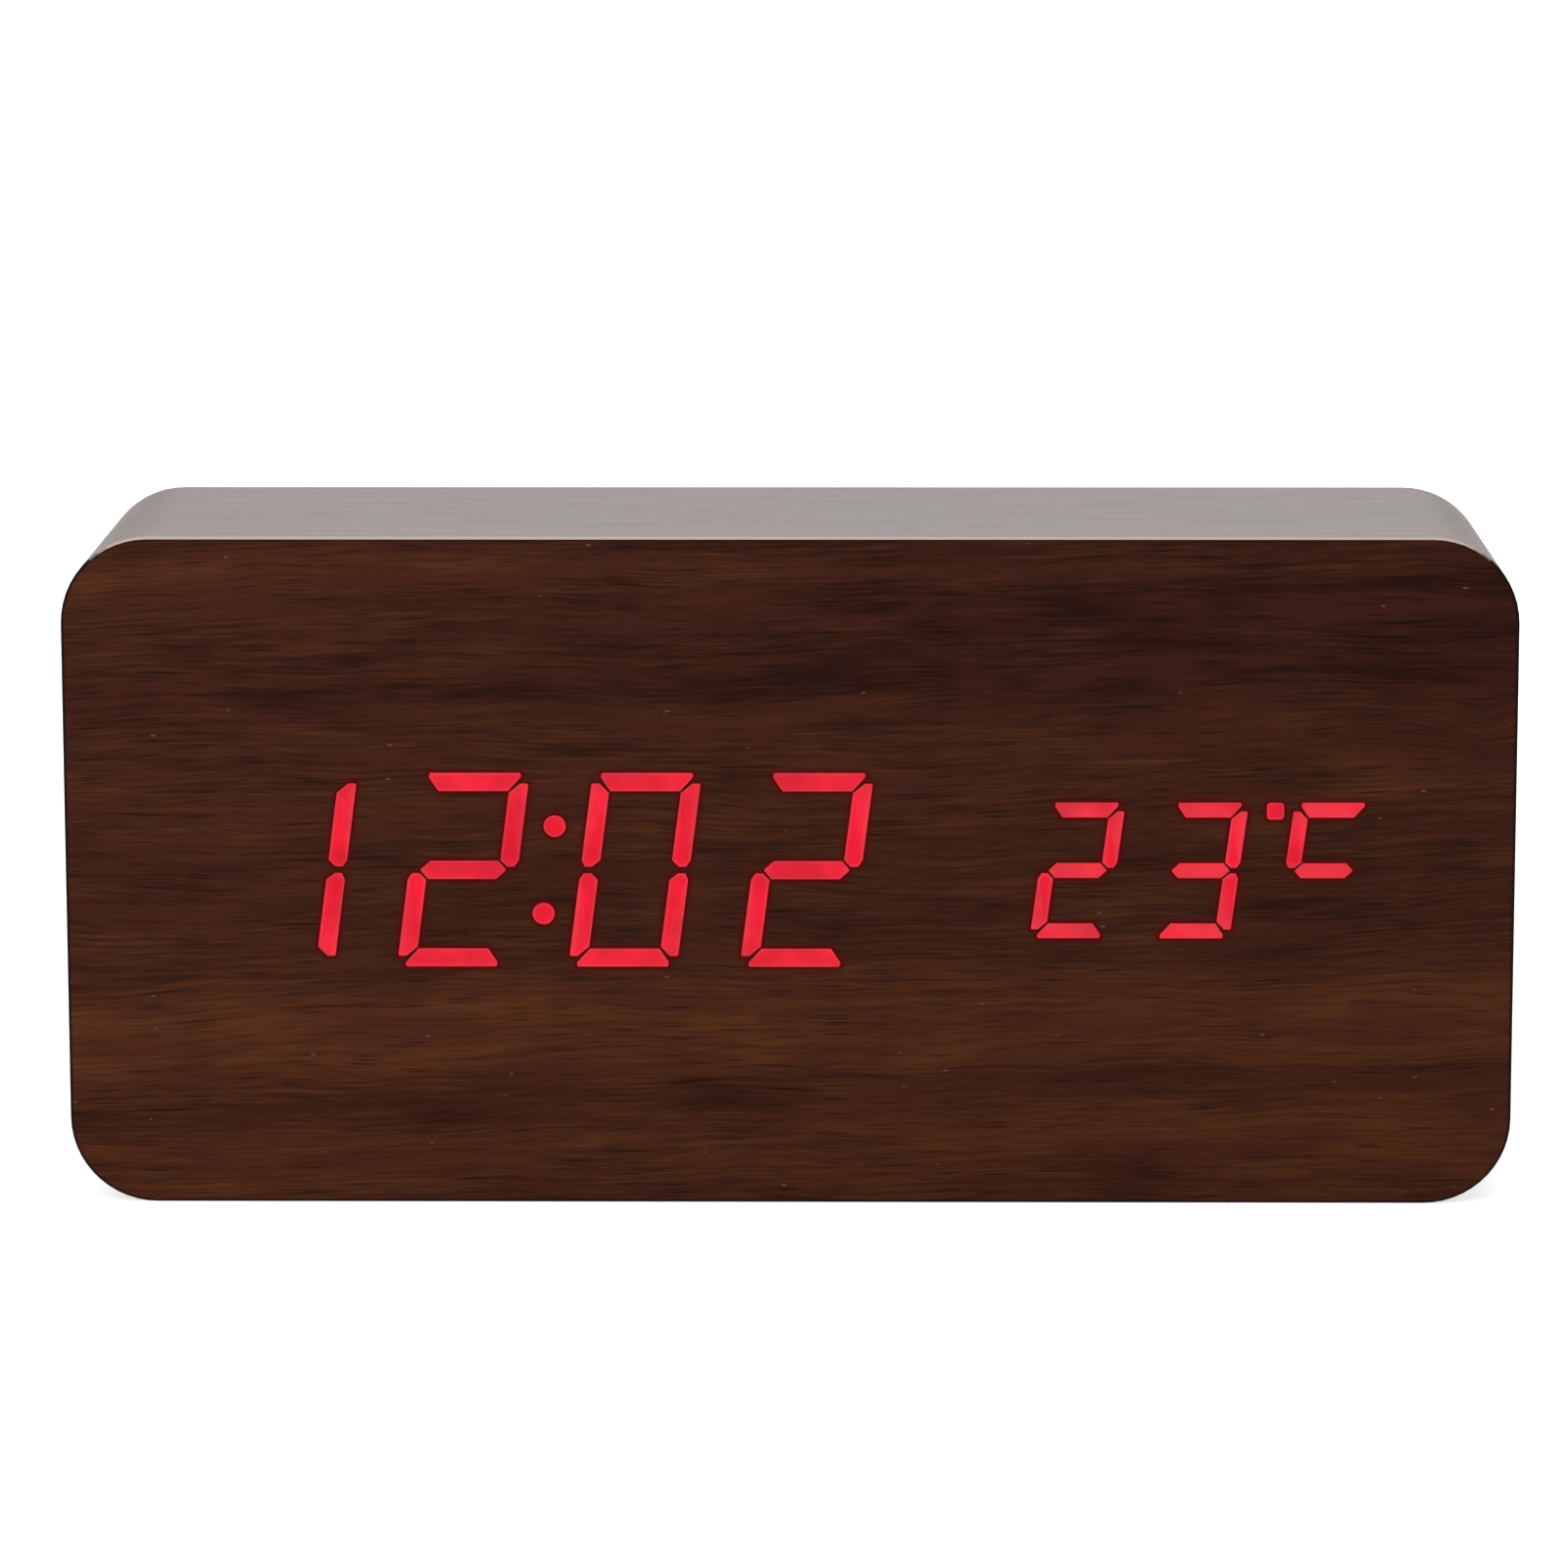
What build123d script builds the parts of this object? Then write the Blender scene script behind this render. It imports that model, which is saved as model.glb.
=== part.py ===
from build123d import *

import math
import os

# A digital desk clock: a hollow wooden case with thin veneer all round, whose numerals shine through the
# front. Behind the front lie a mask, a diffuser, two white reflector blocks and a board of small lamps. The
# back is a plastic panel set into the case, with three push buttons, a power jack, vents and a battery bay.
# Frame: +X to the right as seen from the front, +Y towards the back, +Z up. The origin is the middle of the
# base. All lengths are in millimetres.

os.makedirs("parts", exist_ok=True)

# Case
case_width = 150.0
case_height = 70.0
case_depth = 40.0
case_corner_radius = 9.0
veneer = 0.5
veneer_bevel = 0.2
side_wall = 5.5
front_wall = 4.0
panel_pocket_radius = 4.0
corner_post_width = 10.5
cavity_edge_radius = 2.0

# Digits. Their row runs from inset to inset across the front: four for the time, then three smaller ones
digit_slant = 7.5
digit_rise = 0.3
first_digit_inset = 23.45
last_digit_inset = 19.8
time_pitch_share = 0.16656
time_width_share = 0.6355
time_height_share = 0.292
time_stroke = 1.95
small_pitch_share = 0.119
small_width_share = 0.63
small_height_share = 0.7
small_stroke = 1.6
colon_dot = 2.3
colon_spread_share = 0.45
degree_dot = 1.8
degree_gap = 0.95

# The shape of one bar of a digit, as shares of its stroke
end_inset_share = 0.46
end_square_share = 0.26
end_lean_share = 0.59
end_drop_share = 0.575
end_flat_share = 0.44
end_fall_share = 0.51
middle_gap_share = 0.17
middle_outer_cut_share = 0.2
middle_inner_cut_share = 0.41
middle_fall_share = 0.36
cross_gap_share = 0.09
bar_round_share = 0.11
dot_round_share = 0.22

# Display
mask_film = 0.2
diffuser_film = 0.2
film_clearance = 0.2
reflector_depth = 6.5
reflector_margin = 1.2
window_clearance = 0.5
window_radius = 1.5
board_thickness = 1.2
display_board_side_gap = 3.0
display_board_post_gap = 1.0
display_board_edge = 6.08
lamp_length = 1.6
lamp_width = 0.8
lamp_thickness = 0.6
lamp_place_share = 0.5

# Screws
small_screw_shank = 1.9
small_screw_head = 3.6
small_screw_head_height = 1.3
display_screw_length = 6.5
display_screw_side_inset = 6.0
display_screw_edge_inset = 2.4
boss_screw_length = 5.0
panel_screw_shank = 2.4
panel_screw_length = 10.0
panel_screw_head = 4.8
panel_screw_head_height = 1.6
screw_hole_clearance = 0.3
pilot_clearance = 0.05
pilot_end_gap = 0.3
head_round_share = 0.25
point_share = 0.3
slot_width_share = 0.14
slot_length_share = 0.6
slot_depth_share = 0.55
spacer_wall = 0.9

# Driver chips on the display board, and the ribbon between the two boards
driver_length = 18.0
driver_width = 7.5
driver_height = 2.2
driver_legs = 14
driver_leg_pitch = 1.27
driver_leg_width = 0.45
driver_leg_reach = 1.4
driver_leg_thickness = 0.3
driver_spread = 46.0
header_length = 12.0
header_width = 5.0
header_height = 3.4
header_wall = 0.7
header_floor = 1.0
plug_clearance = 0.2
plug_height_share = 0.26
display_header_rise = 9.5
ribbon_width = 8.0
ribbon_thickness = 0.9
ribbon_radius_share = 0.27

# Rear panel
panel_recess = 2.5
panel_thickness = 2.0
panel_clearance = 0.2
panel_bevel = 0.3

# Control board, hung behind the panel on four bosses. Its width is a share of the cavity's
control_board_width_share = 0.34783
control_board_height = 34.0
control_board_side_strip = 12.5
boss_height = 4.5
boss_diameter = 5.0
boss_inset = 3.0

# Push buttons and the switches under them. Their pitch is a share of the control board's width
button_pitch_share = 0.25
button_rise = 8.0
button_diameter = 6.6
button_clearance = 0.2
button_proud = 1.3
button_round = 0.5
button_dish_depth = 0.25
button_dish_share = 0.7
button_flange = 8.6
button_flange_thickness = 0.8
button_play = 0.1
button_travel = 0.5
switch_size = 6.0
switch_height = 2.6
switch_corner_cut = 0.6
plunger_diameter = 3.4
plunger_clearance = 0.1
plunger_seat = 1.3
mark_rise = 6.6
mark_size = 2.4
mark_line = 0.5
mark_height = 0.3

# Power jack, held behind its hole in the panel by two moulded walls
inlet_hole = 8.0
jack_side_gap = 6.2
jack_width = 9.0
jack_length = 11.0
jack_bore = 3.6
jack_bore_depth = 9.5
jack_pin = 1.3
jack_pin_drop = 1.0
jack_pin_clearance = 0.05
pin_round_share = 0.25
jack_lug_width = 1.6
jack_lug_thickness = 0.4
jack_lug_length = 2.5
jack_lug_spread = 3.4
jack_wall = 1.2
jack_wall_reach = 8.0
jack_clearance = 0.1

# Vents with the temperature bead behind them, the sounder and the microphone. A place is a pair of shares of
# the control board's width and height, from its centre
vent_count = 4
vent_pitch = 2.2
vent_width = 1.0
vent_length = 6.0
bead_diameter = 2.6
bead_gap = 0.8
bead_lead = 0.5
bead_lead_spread = 1.4
bead_place_share = (-0.25, -0.235)
buzzer_diameter = 9.0
buzzer_height = 4.0
buzzer_bore = 2.0
buzzer_bore_depth = 1.0
buzzer_place_share = (0.10, -0.235)
sound_hole = 1.2
sound_hole_ring = 2.6
sound_hole_count = 6
microphone_diameter = 6.0
microphone_height = 2.7
microphone_hole = 1.5
microphone_place_share = (0.365, -0.18)

# The other pieces on the control board. The chip and the coin cell are shares of its width
chip_size_share = 0.20833
chip_height = 1.6
chip_legs_per_side = 11
chip_leg_pitch_share = 0.08
chip_leg_width = 0.35
chip_leg_reach = 1.0
chip_leg_thickness = 0.25
chip_place_share = (-0.25, 0.03)
crystal_length = 8.0
crystal_width = 3.2
crystal_height = 2.5
crystal_place_share = (-0.25, -0.212)
coin_diameter_share = 0.41667
coin_thickness = 3.2
coin_clearance = 0.2
coin_holder_wall = 1.2
coin_holder_floor = 0.8
coin_holder_mouth_share = 0.6
coin_place_share = (0.19, 0.015)
clip_width = 6.0
clip_thickness = 0.3
capacitor_diameter = 6.3
capacitor_height = 7.7
capacitor_groove = 0.3
capacitor_groove_rise_share = 0.18
capacitor_groove_width_share = 0.08
capacitor_place_share = (0.0, -0.37)
control_header_place_share = (-0.23, -0.37)
resistor_count = 6
resistor_pitch = 2.2
resistor_length = 1.6
resistor_width = 0.8
resistor_thickness = 0.5
resistor_place_share = (-0.25, 0.33)

# Battery bay, moulded in one with the panel between the case's posts, and the cells that fill it
bay_width_share = 0.3487
bay_post_gap = 0.5
cell_count = 3
cell_gap = 0.5
cell_nub_diameter = 3.8
cell_nub_height = 0.8
cell_edge_radius = 0.5
cell_door_gap = 0.3
cell_floor_gap = 0.1
bay_side_gap = 3.0
bay_wall = 1.5
rib_height = 2.2
rib_thickness = 1.2
rib_length_share = 0.8
contact_plate = 0.3
contact_width = 8.0
contact_depth = 9.0
tail_width = 2.0
tail_reach = 2.0
tail_clearance = 0.1
leaf_height = 3.0
leaf_span = 7.0
leaf_width = 5.0
leaf_gap = 0.02

# Battery door, which turns on two tabs at its top edge
door_thickness = 1.6
door_clearance = 0.2
door_overlap = 1.5
door_corner_radius = 1.5
tab_width = 6.0
tab_reach = 1.6
tab_thickness = 0.8
tab_clearance = 0.15
tab_spread = 19.2
tongue_width = 12.0
tongue_length = 8.0
tongue_slit = 0.8
hook_reach = 0.15
hook_thickness = 0.6
ridge_count = 4
ridge_pitch = 1.4
ridge_width = 0.6
ridge_height = 0.5
scoop_radius = 5.0
scoop_depth = 0.8

# Wires inside the case
wire_diameter = 1.2
wire_radius = 3.0
wire_stub = 4.0
wire_pad_gap = 0.2

# Depths, from the front face to the back, and other places that follow from the sizes above
mid_height = case_height / 2
front_face_y = -case_depth / 2
rear_face_y = case_depth / 2
core_front_y = front_face_y + veneer
core_rear_y = rear_face_y - veneer
front_wall_rear_y = core_front_y + front_wall
panel_rear_y = rear_face_y - panel_recess
panel_front_y = panel_rear_y - panel_thickness
diffuser_front_y = core_front_y + mask_film
reflector_front_y = diffuser_front_y + diffuser_film
display_board_front_y = reflector_front_y + reflector_depth
display_board_rear_y = display_board_front_y + board_thickness
control_board_rear_y = panel_front_y - boss_height
control_board_front_y = control_board_rear_y - board_thickness
plug_height = plug_height_share * (control_board_front_y - display_board_rear_y)

digit_row_width = case_width - first_digit_inset - last_digit_inset
time_digit_pitch = time_pitch_share * digit_row_width
time_digit_width = time_width_share * time_digit_pitch
time_digit_height = time_height_share * case_height
time_first_digit_x = first_digit_inset - case_width / 2
small_digit_pitch = small_pitch_share * digit_row_width
small_digit_width = small_width_share * small_digit_pitch
small_digit_height = small_height_share * time_digit_height
small_last_digit_x = case_width / 2 - last_digit_inset

cavity_width = case_width - 2 * (veneer + side_wall)
cavity_height = case_height - 2 * (veneer + side_wall)
display_board_width = cavity_width - 2 * display_board_side_gap
display_board_height = time_digit_height + 2 * (reflector_margin + display_board_edge)
post_gap = display_board_height + 2 * display_board_post_gap
corner_post_height = (cavity_height - post_gap) / 2
post_span_x = cavity_width - corner_post_width
post_span_z = cavity_height - corner_post_height
bottom_flat_width = case_width - 2 * case_corner_radius


def across(y):
    """The plane that stands across the clock at depth y, seen from the front. Extrusions run forwards."""
    return Plane.XZ.offset(-y)


def save(piece, name):
    """Labels a finished piece and writes its file."""
    piece.part.label = name
    export_step(piece.part, f"parts/{name}.step")


# The outlines of the digits

BAR_NAMES = "abcdefg"
LIT_BARS = {"0": "abcdef", "1": "bc", "2": "abged", "3": "abgcd", "C": "afg"}

digit_slope = math.tan(math.radians(digit_slant))
digit_centre_z = mid_height + digit_rise
time_size = (time_digit_width, time_digit_height, time_stroke)
small_size = (small_digit_width, small_digit_height, small_stroke)
time_digits = [(time_first_digit_x + i * time_digit_pitch, c) for i, c in enumerate("1202")]
small_digits = [(small_last_digit_x + i * small_digit_pitch, c) for i, c in zip((-2, -1, 0), "23C")]
time_half_reach = (time_digit_width + time_digit_height * digit_slope) / 2
small_half_reach = (small_digit_width + small_digit_height * digit_slope) / 2


def bar_outline(name, width, height, stroke):
    """The corners of one bar, a to g, of an upright digit, about the digit's centre."""
    side = width / 2
    top = height / 2
    tip = side - end_inset_share * stroke
    tip_foot = top - end_square_share * stroke
    heel = tip - end_lean_share * stroke
    shoulder = top - end_drop_share * stroke
    neck = shoulder - end_fall_share * stroke
    gap = middle_gap_share * stroke
    waist = gap + middle_fall_share * stroke
    reach = side - stroke / 2 - cross_gap_share * stroke
    top_bar = [
        (-tip, top),
        (tip, top),
        (tip, tip_foot),
        (heel, top - stroke),
        (-heel, top - stroke),
        (-tip, tip_foot),
    ]
    upper_right_bar = [
        (side, shoulder),
        (side - end_flat_share * stroke, shoulder),
        (side - stroke, neck),
        (side - stroke, waist),
        (side - stroke + middle_inner_cut_share * stroke, gap),
        (side - middle_outer_cut_share * stroke, gap),
        (side, waist),
    ]
    middle_bar = [
        (-reach, 0),
        (stroke / 2 - reach, stroke / 2),
        (reach - stroke / 2, stroke / 2),
        (reach, 0),
        (reach - stroke / 2, -stroke / 2),
        (stroke / 2 - reach, -stroke / 2),
    ]
    return {
        "a": top_bar,
        "b": upper_right_bar,
        "c": [(u, -v) for u, v in upper_right_bar],
        "d": [(u, -v) for u, v in top_bar],
        "e": [(-u, -v) for u, v in upper_right_bar],
        "f": [(-u, v) for u, v in upper_right_bar],
        "g": middle_bar,
    }[name]


def slanted(points):
    """Leans upright points over to the digits' slant."""
    return [(u + v * digit_slope, v) for u, v in points]


def draw_bars(digits, size, lit_only):
    """Adds the bars of a row of digits to the sketch in hand: all of them, or only those that shine."""
    for x, character in digits:
        for name in LIT_BARS[character] if lit_only else BAR_NAMES:
            with Locations((x, digit_centre_z)):
                Polygon(*slanted(bar_outline(name, *size)), align=None)


colon_x = time_first_digit_x + 1.5 * time_digit_pitch
colon_half_spread = colon_spread_share * time_digit_height / 2
colon_places = [
    (colon_x + u, digit_centre_z + v) for u, v in slanted([(0, colon_half_spread), (0, -colon_half_spread)])
]
degree_side = -(small_digit_width + degree_dot) / 2 - degree_gap
degree_top = (small_digit_height - degree_dot) / 2
degree_x = small_digits[-1][0] + degree_side + degree_top * digit_slope
degree_place = (degree_x, digit_centre_z + degree_top)


def draw_colon():
    """Adds the two dots between the hours and the minutes to the sketch in hand."""
    with Locations(*colon_places):
        Circle(colon_dot / 2)


def draw_degree_dot():
    """Adds the dot beside the small C to the sketch in hand."""
    with Locations(degree_place):
        RectangleRounded(degree_dot, degree_dot, dot_round_share * degree_dot)


with BuildSketch(across(core_front_y)) as lit_time_outline:
    draw_bars(time_digits, time_size, lit_only=True)
    fillet(lit_time_outline.vertices(), bar_round_share * time_stroke)
    draw_colon()

with BuildSketch(across(core_front_y)) as lit_small_outline:
    draw_bars(small_digits, small_size, lit_only=True)
    fillet(lit_small_outline.vertices(), bar_round_share * small_stroke)
    draw_degree_dot()

# Case: a hollow core with a post in each corner, and veneer on its front, round it and on its rear rim

display_left = time_digits[0][0] - time_half_reach
display_right = small_digits[-1][0] + small_half_reach
window_margin = reflector_margin + window_clearance
window_width = display_right - display_left + 2 * window_margin
window_height = time_digit_height + 2 * window_margin
window_place = ((display_left + display_right) / 2, digit_centre_z)
film_size = (window_width - 2 * film_clearance, window_height - 2 * film_clearance)

display_screw_span_x = display_board_width / 2 - display_screw_side_inset
display_screw_span_z = display_board_height - 2 * display_screw_edge_inset
spacer_length = display_board_front_y - front_wall_rear_y
display_screw_bite = display_screw_length - board_thickness - spacer_length
display_screw_places = [
    (column * display_screw_span_x, mid_height + row * display_screw_span_z / 2)
    for column in (-1, 0, 1)
    for row in (-1, 1)
]
panel_screw_places = [
    (column * post_span_x / 2, mid_height + row * post_span_z / 2) for column in (-1, 1) for row in (-1, 1)
]

with BuildPart() as case_core:
    with BuildSketch(across(core_rear_y)):
        with Locations((0, mid_height)):
            RectangleRounded(case_width - 2 * veneer, case_height - 2 * veneer, case_corner_radius - veneer)
    extrude(amount=core_rear_y - core_front_y)
    with BuildSketch(across(panel_front_y)) as cavity_outline:
        with Locations((0, mid_height)):
            Rectangle(cavity_width, cavity_height)
            with GridLocations(post_span_x, post_span_z, 2, 2):
                Rectangle(corner_post_width, corner_post_height, mode=Mode.SUBTRACT)
        fillet(cavity_outline.vertices(), cavity_edge_radius)
    extrude(amount=panel_front_y - front_wall_rear_y, mode=Mode.SUBTRACT)
    with BuildSketch(across(core_rear_y)):
        with Locations((0, mid_height)):
            RectangleRounded(cavity_width, cavity_height, panel_pocket_radius)
    extrude(amount=core_rear_y - panel_front_y, mode=Mode.SUBTRACT)
    with BuildSketch(across(front_wall_rear_y)):
        with Locations(window_place):
            RectangleRounded(window_width, window_height, window_radius)
    extrude(amount=front_wall, mode=Mode.SUBTRACT)
    with BuildSketch(across(panel_front_y)):
        with Locations(*panel_screw_places):
            Circle(panel_screw_shank / 2 + pilot_clearance)
    extrude(amount=panel_screw_length - panel_thickness + pilot_end_gap, mode=Mode.SUBTRACT)
    with BuildSketch(across(front_wall_rear_y)):
        with Locations(*display_screw_places):
            Circle(small_screw_shank / 2 + pilot_clearance)
    extrude(amount=display_screw_bite + pilot_end_gap, mode=Mode.SUBTRACT)
save(case_core, "case_core")

with BuildPart() as front_veneer:
    with BuildSketch(across(core_front_y)):
        with Locations((0, mid_height)):
            RectangleRounded(case_width, case_height, case_corner_radius)
    extrude(amount=veneer)
    chamfer(front_veneer.faces().sort_by(Axis.Y)[0].outer_wire().edges(), veneer_bevel)
    extrude(lit_time_outline.sketch, amount=veneer, mode=Mode.SUBTRACT)
    extrude(lit_small_outline.sketch, amount=veneer, mode=Mode.SUBTRACT)
save(front_veneer, "front_veneer")

with BuildPart() as side_veneer:
    with BuildSketch(across(core_rear_y)):
        with Locations((0, mid_height)):
            RectangleRounded(case_width, case_height, case_corner_radius)
            RectangleRounded(
                case_width - 2 * veneer,
                case_height - 2 * veneer,
                case_corner_radius - veneer,
                mode=Mode.SUBTRACT,
            )
        Rectangle(bottom_flat_width, 2 * veneer, mode=Mode.SUBTRACT)
    extrude(amount=core_rear_y - core_front_y)
save(side_veneer, "side_veneer")

with BuildPart() as bottom_veneer:
    with BuildSketch(across(core_rear_y)):
        Rectangle(bottom_flat_width, veneer, align=(Align.CENTER, Align.MIN))
    extrude(amount=core_rear_y - core_front_y)
save(bottom_veneer, "bottom_veneer")

with BuildPart() as rear_rim_veneer:
    with BuildSketch(across(rear_face_y)):
        with Locations((0, mid_height)):
            RectangleRounded(case_width, case_height, case_corner_radius)
            RectangleRounded(cavity_width, cavity_height, panel_pocket_radius, mode=Mode.SUBTRACT)
    extrude(amount=veneer)
    chamfer(rear_rim_veneer.faces().sort_by(Axis.Y)[-1].outer_wire().edges(), veneer_bevel)
save(rear_rim_veneer, "rear_rim_veneer")

# Display: the shining patches of veneer, the mask, the diffuser, the reflectors, the lamps and their board

with BuildPart() as lit_time_numerals:
    extrude(lit_time_outline.sketch, amount=veneer)
save(lit_time_numerals, "lit_time_numerals")

with BuildPart() as lit_temperature_numerals:
    extrude(lit_small_outline.sketch, amount=veneer)
save(lit_temperature_numerals, "lit_temperature_numerals")

with BuildPart() as light_mask:
    with BuildSketch(across(diffuser_front_y)):
        with Locations(window_place):
            RectangleRounded(*film_size, window_radius - film_clearance)
    extrude(amount=mask_film)
    with BuildSketch(across(diffuser_front_y)):
        draw_bars(time_digits, time_size, lit_only=False)
        draw_colon()
        draw_bars(small_digits, small_size, lit_only=False)
        draw_degree_dot()
    extrude(amount=mask_film, mode=Mode.SUBTRACT)
save(light_mask, "light_mask")

with BuildPart() as diffuser_sheet:
    with BuildSketch(across(reflector_front_y)):
        with Locations(window_place):
            RectangleRounded(*film_size, window_radius - film_clearance)
    extrude(amount=diffuser_film)
save(diffuser_sheet, "diffuser_sheet")

with BuildPart() as time_reflector:
    with BuildSketch(across(display_board_front_y)):
        with Locations(((time_digits[0][0] + time_digits[-1][0]) / 2, digit_centre_z)):
            RectangleRounded(
                time_digits[-1][0] - time_digits[0][0] + 2 * (time_half_reach + reflector_margin),
                time_digit_height + 2 * reflector_margin,
                reflector_margin,
            )
    extrude(amount=reflector_depth)
    with BuildSketch(across(display_board_front_y)):
        draw_bars(time_digits, time_size, lit_only=False)
        draw_colon()
    extrude(amount=reflector_depth, mode=Mode.SUBTRACT)
save(time_reflector, "time_reflector")

with BuildPart() as temperature_reflector:
    with BuildSketch(across(display_board_front_y)):
        with Locations(((small_digits[0][0] + small_digits[-1][0]) / 2, digit_centre_z)):
            RectangleRounded(
                small_digits[-1][0] - small_digits[0][0] + 2 * (small_half_reach + reflector_margin),
                small_digit_height + 2 * reflector_margin,
                reflector_margin,
            )
    extrude(amount=reflector_depth)
    with BuildSketch(across(display_board_front_y)):
        draw_bars(small_digits, small_size, lit_only=False)
        draw_degree_dot()
    extrude(amount=reflector_depth, mode=Mode.SUBTRACT)
save(temperature_reflector, "temperature_reflector")


def lamp_places(name, width, height, stroke):
    """Where the two lamps of a bar stand, about the centre of its upright digit."""
    side = (width - stroke) / 2
    top = (height - stroke) / 2
    centre, half_bar = {
        "a": ((0, top), (side, 0)),
        "b": ((side, top / 2), (0, top / 2)),
        "c": ((side, -top / 2), (0, top / 2)),
        "d": ((0, -top), (side, 0)),
        "e": ((-side, -top / 2), (0, top / 2)),
        "f": ((-side, top / 2), (0, top / 2)),
        "g": ((0, 0), (side, 0)),
    }[name]
    return [
        (centre[0] + end * lamp_place_share * half_bar[0], centre[1] + end * lamp_place_share * half_bar[1])
        for end in (-1, 1)
    ]


def draw_lamps(digits, size):
    """Adds two lamps behind each bar of a row of digits to the sketch in hand, lying along the bar."""
    for x, _ in digits:
        for name in BAR_NAMES:
            for u, v in slanted(lamp_places(name, *size)):
                with Locations((x + u, digit_centre_z + v)):
                    if name in "adg":
                        Rectangle(lamp_length, lamp_width)
                    else:
                        Rectangle(lamp_width, lamp_length)


with BuildPart() as time_lamps:
    with BuildSketch(across(display_board_front_y)):
        draw_lamps(time_digits, time_size)
        with Locations(*colon_places):
            Rectangle(lamp_width, lamp_length)
    extrude(amount=lamp_thickness)
save(time_lamps, "time_lamps")

with BuildPart() as temperature_lamps:
    with BuildSketch(across(display_board_front_y)):
        draw_lamps(small_digits, small_size)
        with Locations(degree_place):
            Rectangle(lamp_width, lamp_width)
    extrude(amount=lamp_thickness)
save(temperature_lamps, "temperature_lamps")

with BuildPart() as display_board:
    with BuildSketch(across(display_board_rear_y)):
        with Locations((0, mid_height)):
            Rectangle(display_board_width, display_board_height)
        with Locations(*display_screw_places):
            Circle(small_screw_shank / 2 + screw_hole_clearance, mode=Mode.SUBTRACT)
    extrude(amount=board_thickness)
save(display_board, "display_board")

with BuildPart() as board_spacers:
    with BuildSketch(across(display_board_front_y)):
        with Locations(*display_screw_places):
            Circle(small_screw_shank / 2 + screw_hole_clearance + spacer_wall)
            Circle(small_screw_shank / 2 + screw_hole_clearance, mode=Mode.SUBTRACT)
    extrude(amount=spacer_length)
save(board_spacers, "board_spacers")


def pan_head_screws(seat_y, places, shank, length, head, head_height, forwards=1):
    """Screws whose heads sit on the plane at seat_y. Their shanks run forwards, or backwards for -1."""
    tip, top = (0, -1) if forwards > 0 else (-1, 0)
    with BuildPart() as screws:
        with BuildSketch(across(seat_y)):
            with Locations(*places):
                Circle(shank / 2)
        extrude(amount=forwards * length)
        chamfer(screws.edges().group_by(Axis.Y)[tip], point_share * shank)
        with BuildSketch(across(seat_y)):
            with Locations(*places):
                Circle(head / 2)
        extrude(amount=-forwards * head_height)
        fillet(screws.edges().group_by(Axis.Y)[top], head_round_share * head_height)
        with BuildSketch(across(seat_y + forwards * head_height)):
            with Locations(*places):
                Rectangle(slot_length_share * head, slot_width_share * head)
                Rectangle(slot_width_share * head, slot_length_share * head)
        extrude(amount=forwards * slot_depth_share * head_height, mode=Mode.SUBTRACT)
    return screws


display_board_screws = pan_head_screws(
    display_board_rear_y,
    display_screw_places,
    small_screw_shank,
    display_screw_length,
    small_screw_head,
    small_screw_head_height,
)
save(display_board_screws, "display_board_screws")

with BuildPart() as display_drivers:
    with BuildSketch(across(display_board_rear_y + driver_height)):
        with Locations((0, mid_height)):
            with GridLocations(driver_spread, 0, 2, 1):
                Rectangle(driver_length, driver_width)
    extrude(amount=driver_height)
    with BuildSketch(across(display_board_rear_y + driver_leg_thickness)):
        with Locations((0, mid_height)):
            with GridLocations(driver_spread, driver_width + driver_leg_reach, 2, 2):
                with GridLocations(driver_leg_pitch, 0, driver_legs, 1):
                    Rectangle(driver_leg_width, driver_leg_reach)
    extrude(amount=driver_leg_thickness)
save(display_drivers, "display_drivers")

# Control board and what stands on it

control_board_width = control_board_width_share * cavity_width
control_board_x = control_board_side_strip + (control_board_width - cavity_width) / 2
button_pitch = button_pitch_share * control_board_width
chip_size = chip_size_share * control_board_width
chip_leg_pitch = chip_leg_pitch_share * chip_size
coin_diameter = coin_diameter_share * control_board_width
boss_places = [
    (
        control_board_x + column * (control_board_width / 2 - boss_inset),
        mid_height + row * (control_board_height / 2 - boss_inset),
    )
    for column in (-1, 1)
    for row in (-1, 1)
]


def on_board(place_share):
    """The place on the control board at these shares of its width and height, from its centre."""
    return (
        control_board_x + place_share[0] * control_board_width,
        mid_height + place_share[1] * control_board_height,
    )


with BuildPart() as control_board:
    with BuildSketch(across(control_board_rear_y)):
        with Locations((control_board_x, mid_height)):
            Rectangle(control_board_width, control_board_height)
        with Locations(*boss_places):
            Circle(small_screw_shank / 2 + screw_hole_clearance, mode=Mode.SUBTRACT)
    extrude(amount=board_thickness)
save(control_board, "control_board")

control_board_screws = pan_head_screws(
    control_board_front_y,
    boss_places,
    small_screw_shank,
    boss_screw_length,
    small_screw_head,
    small_screw_head_height,
    forwards=-1,
)
save(control_board_screws, "control_board_screws")

with BuildPart() as microcontroller:
    with BuildSketch(across(control_board_front_y)):
        with Locations(on_board(chip_place_share)):
            Rectangle(chip_size, chip_size)
    extrude(amount=chip_height)
    with BuildSketch(across(control_board_front_y)):
        with Locations(on_board(chip_place_share)):
            with GridLocations(chip_leg_pitch, chip_size + chip_leg_reach, chip_legs_per_side, 2):
                Rectangle(chip_leg_width, chip_leg_reach)
            with GridLocations(chip_size + chip_leg_reach, chip_leg_pitch, 2, chip_legs_per_side):
                Rectangle(chip_leg_reach, chip_leg_width)
    extrude(amount=chip_leg_thickness)
save(microcontroller, "microcontroller")

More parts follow.
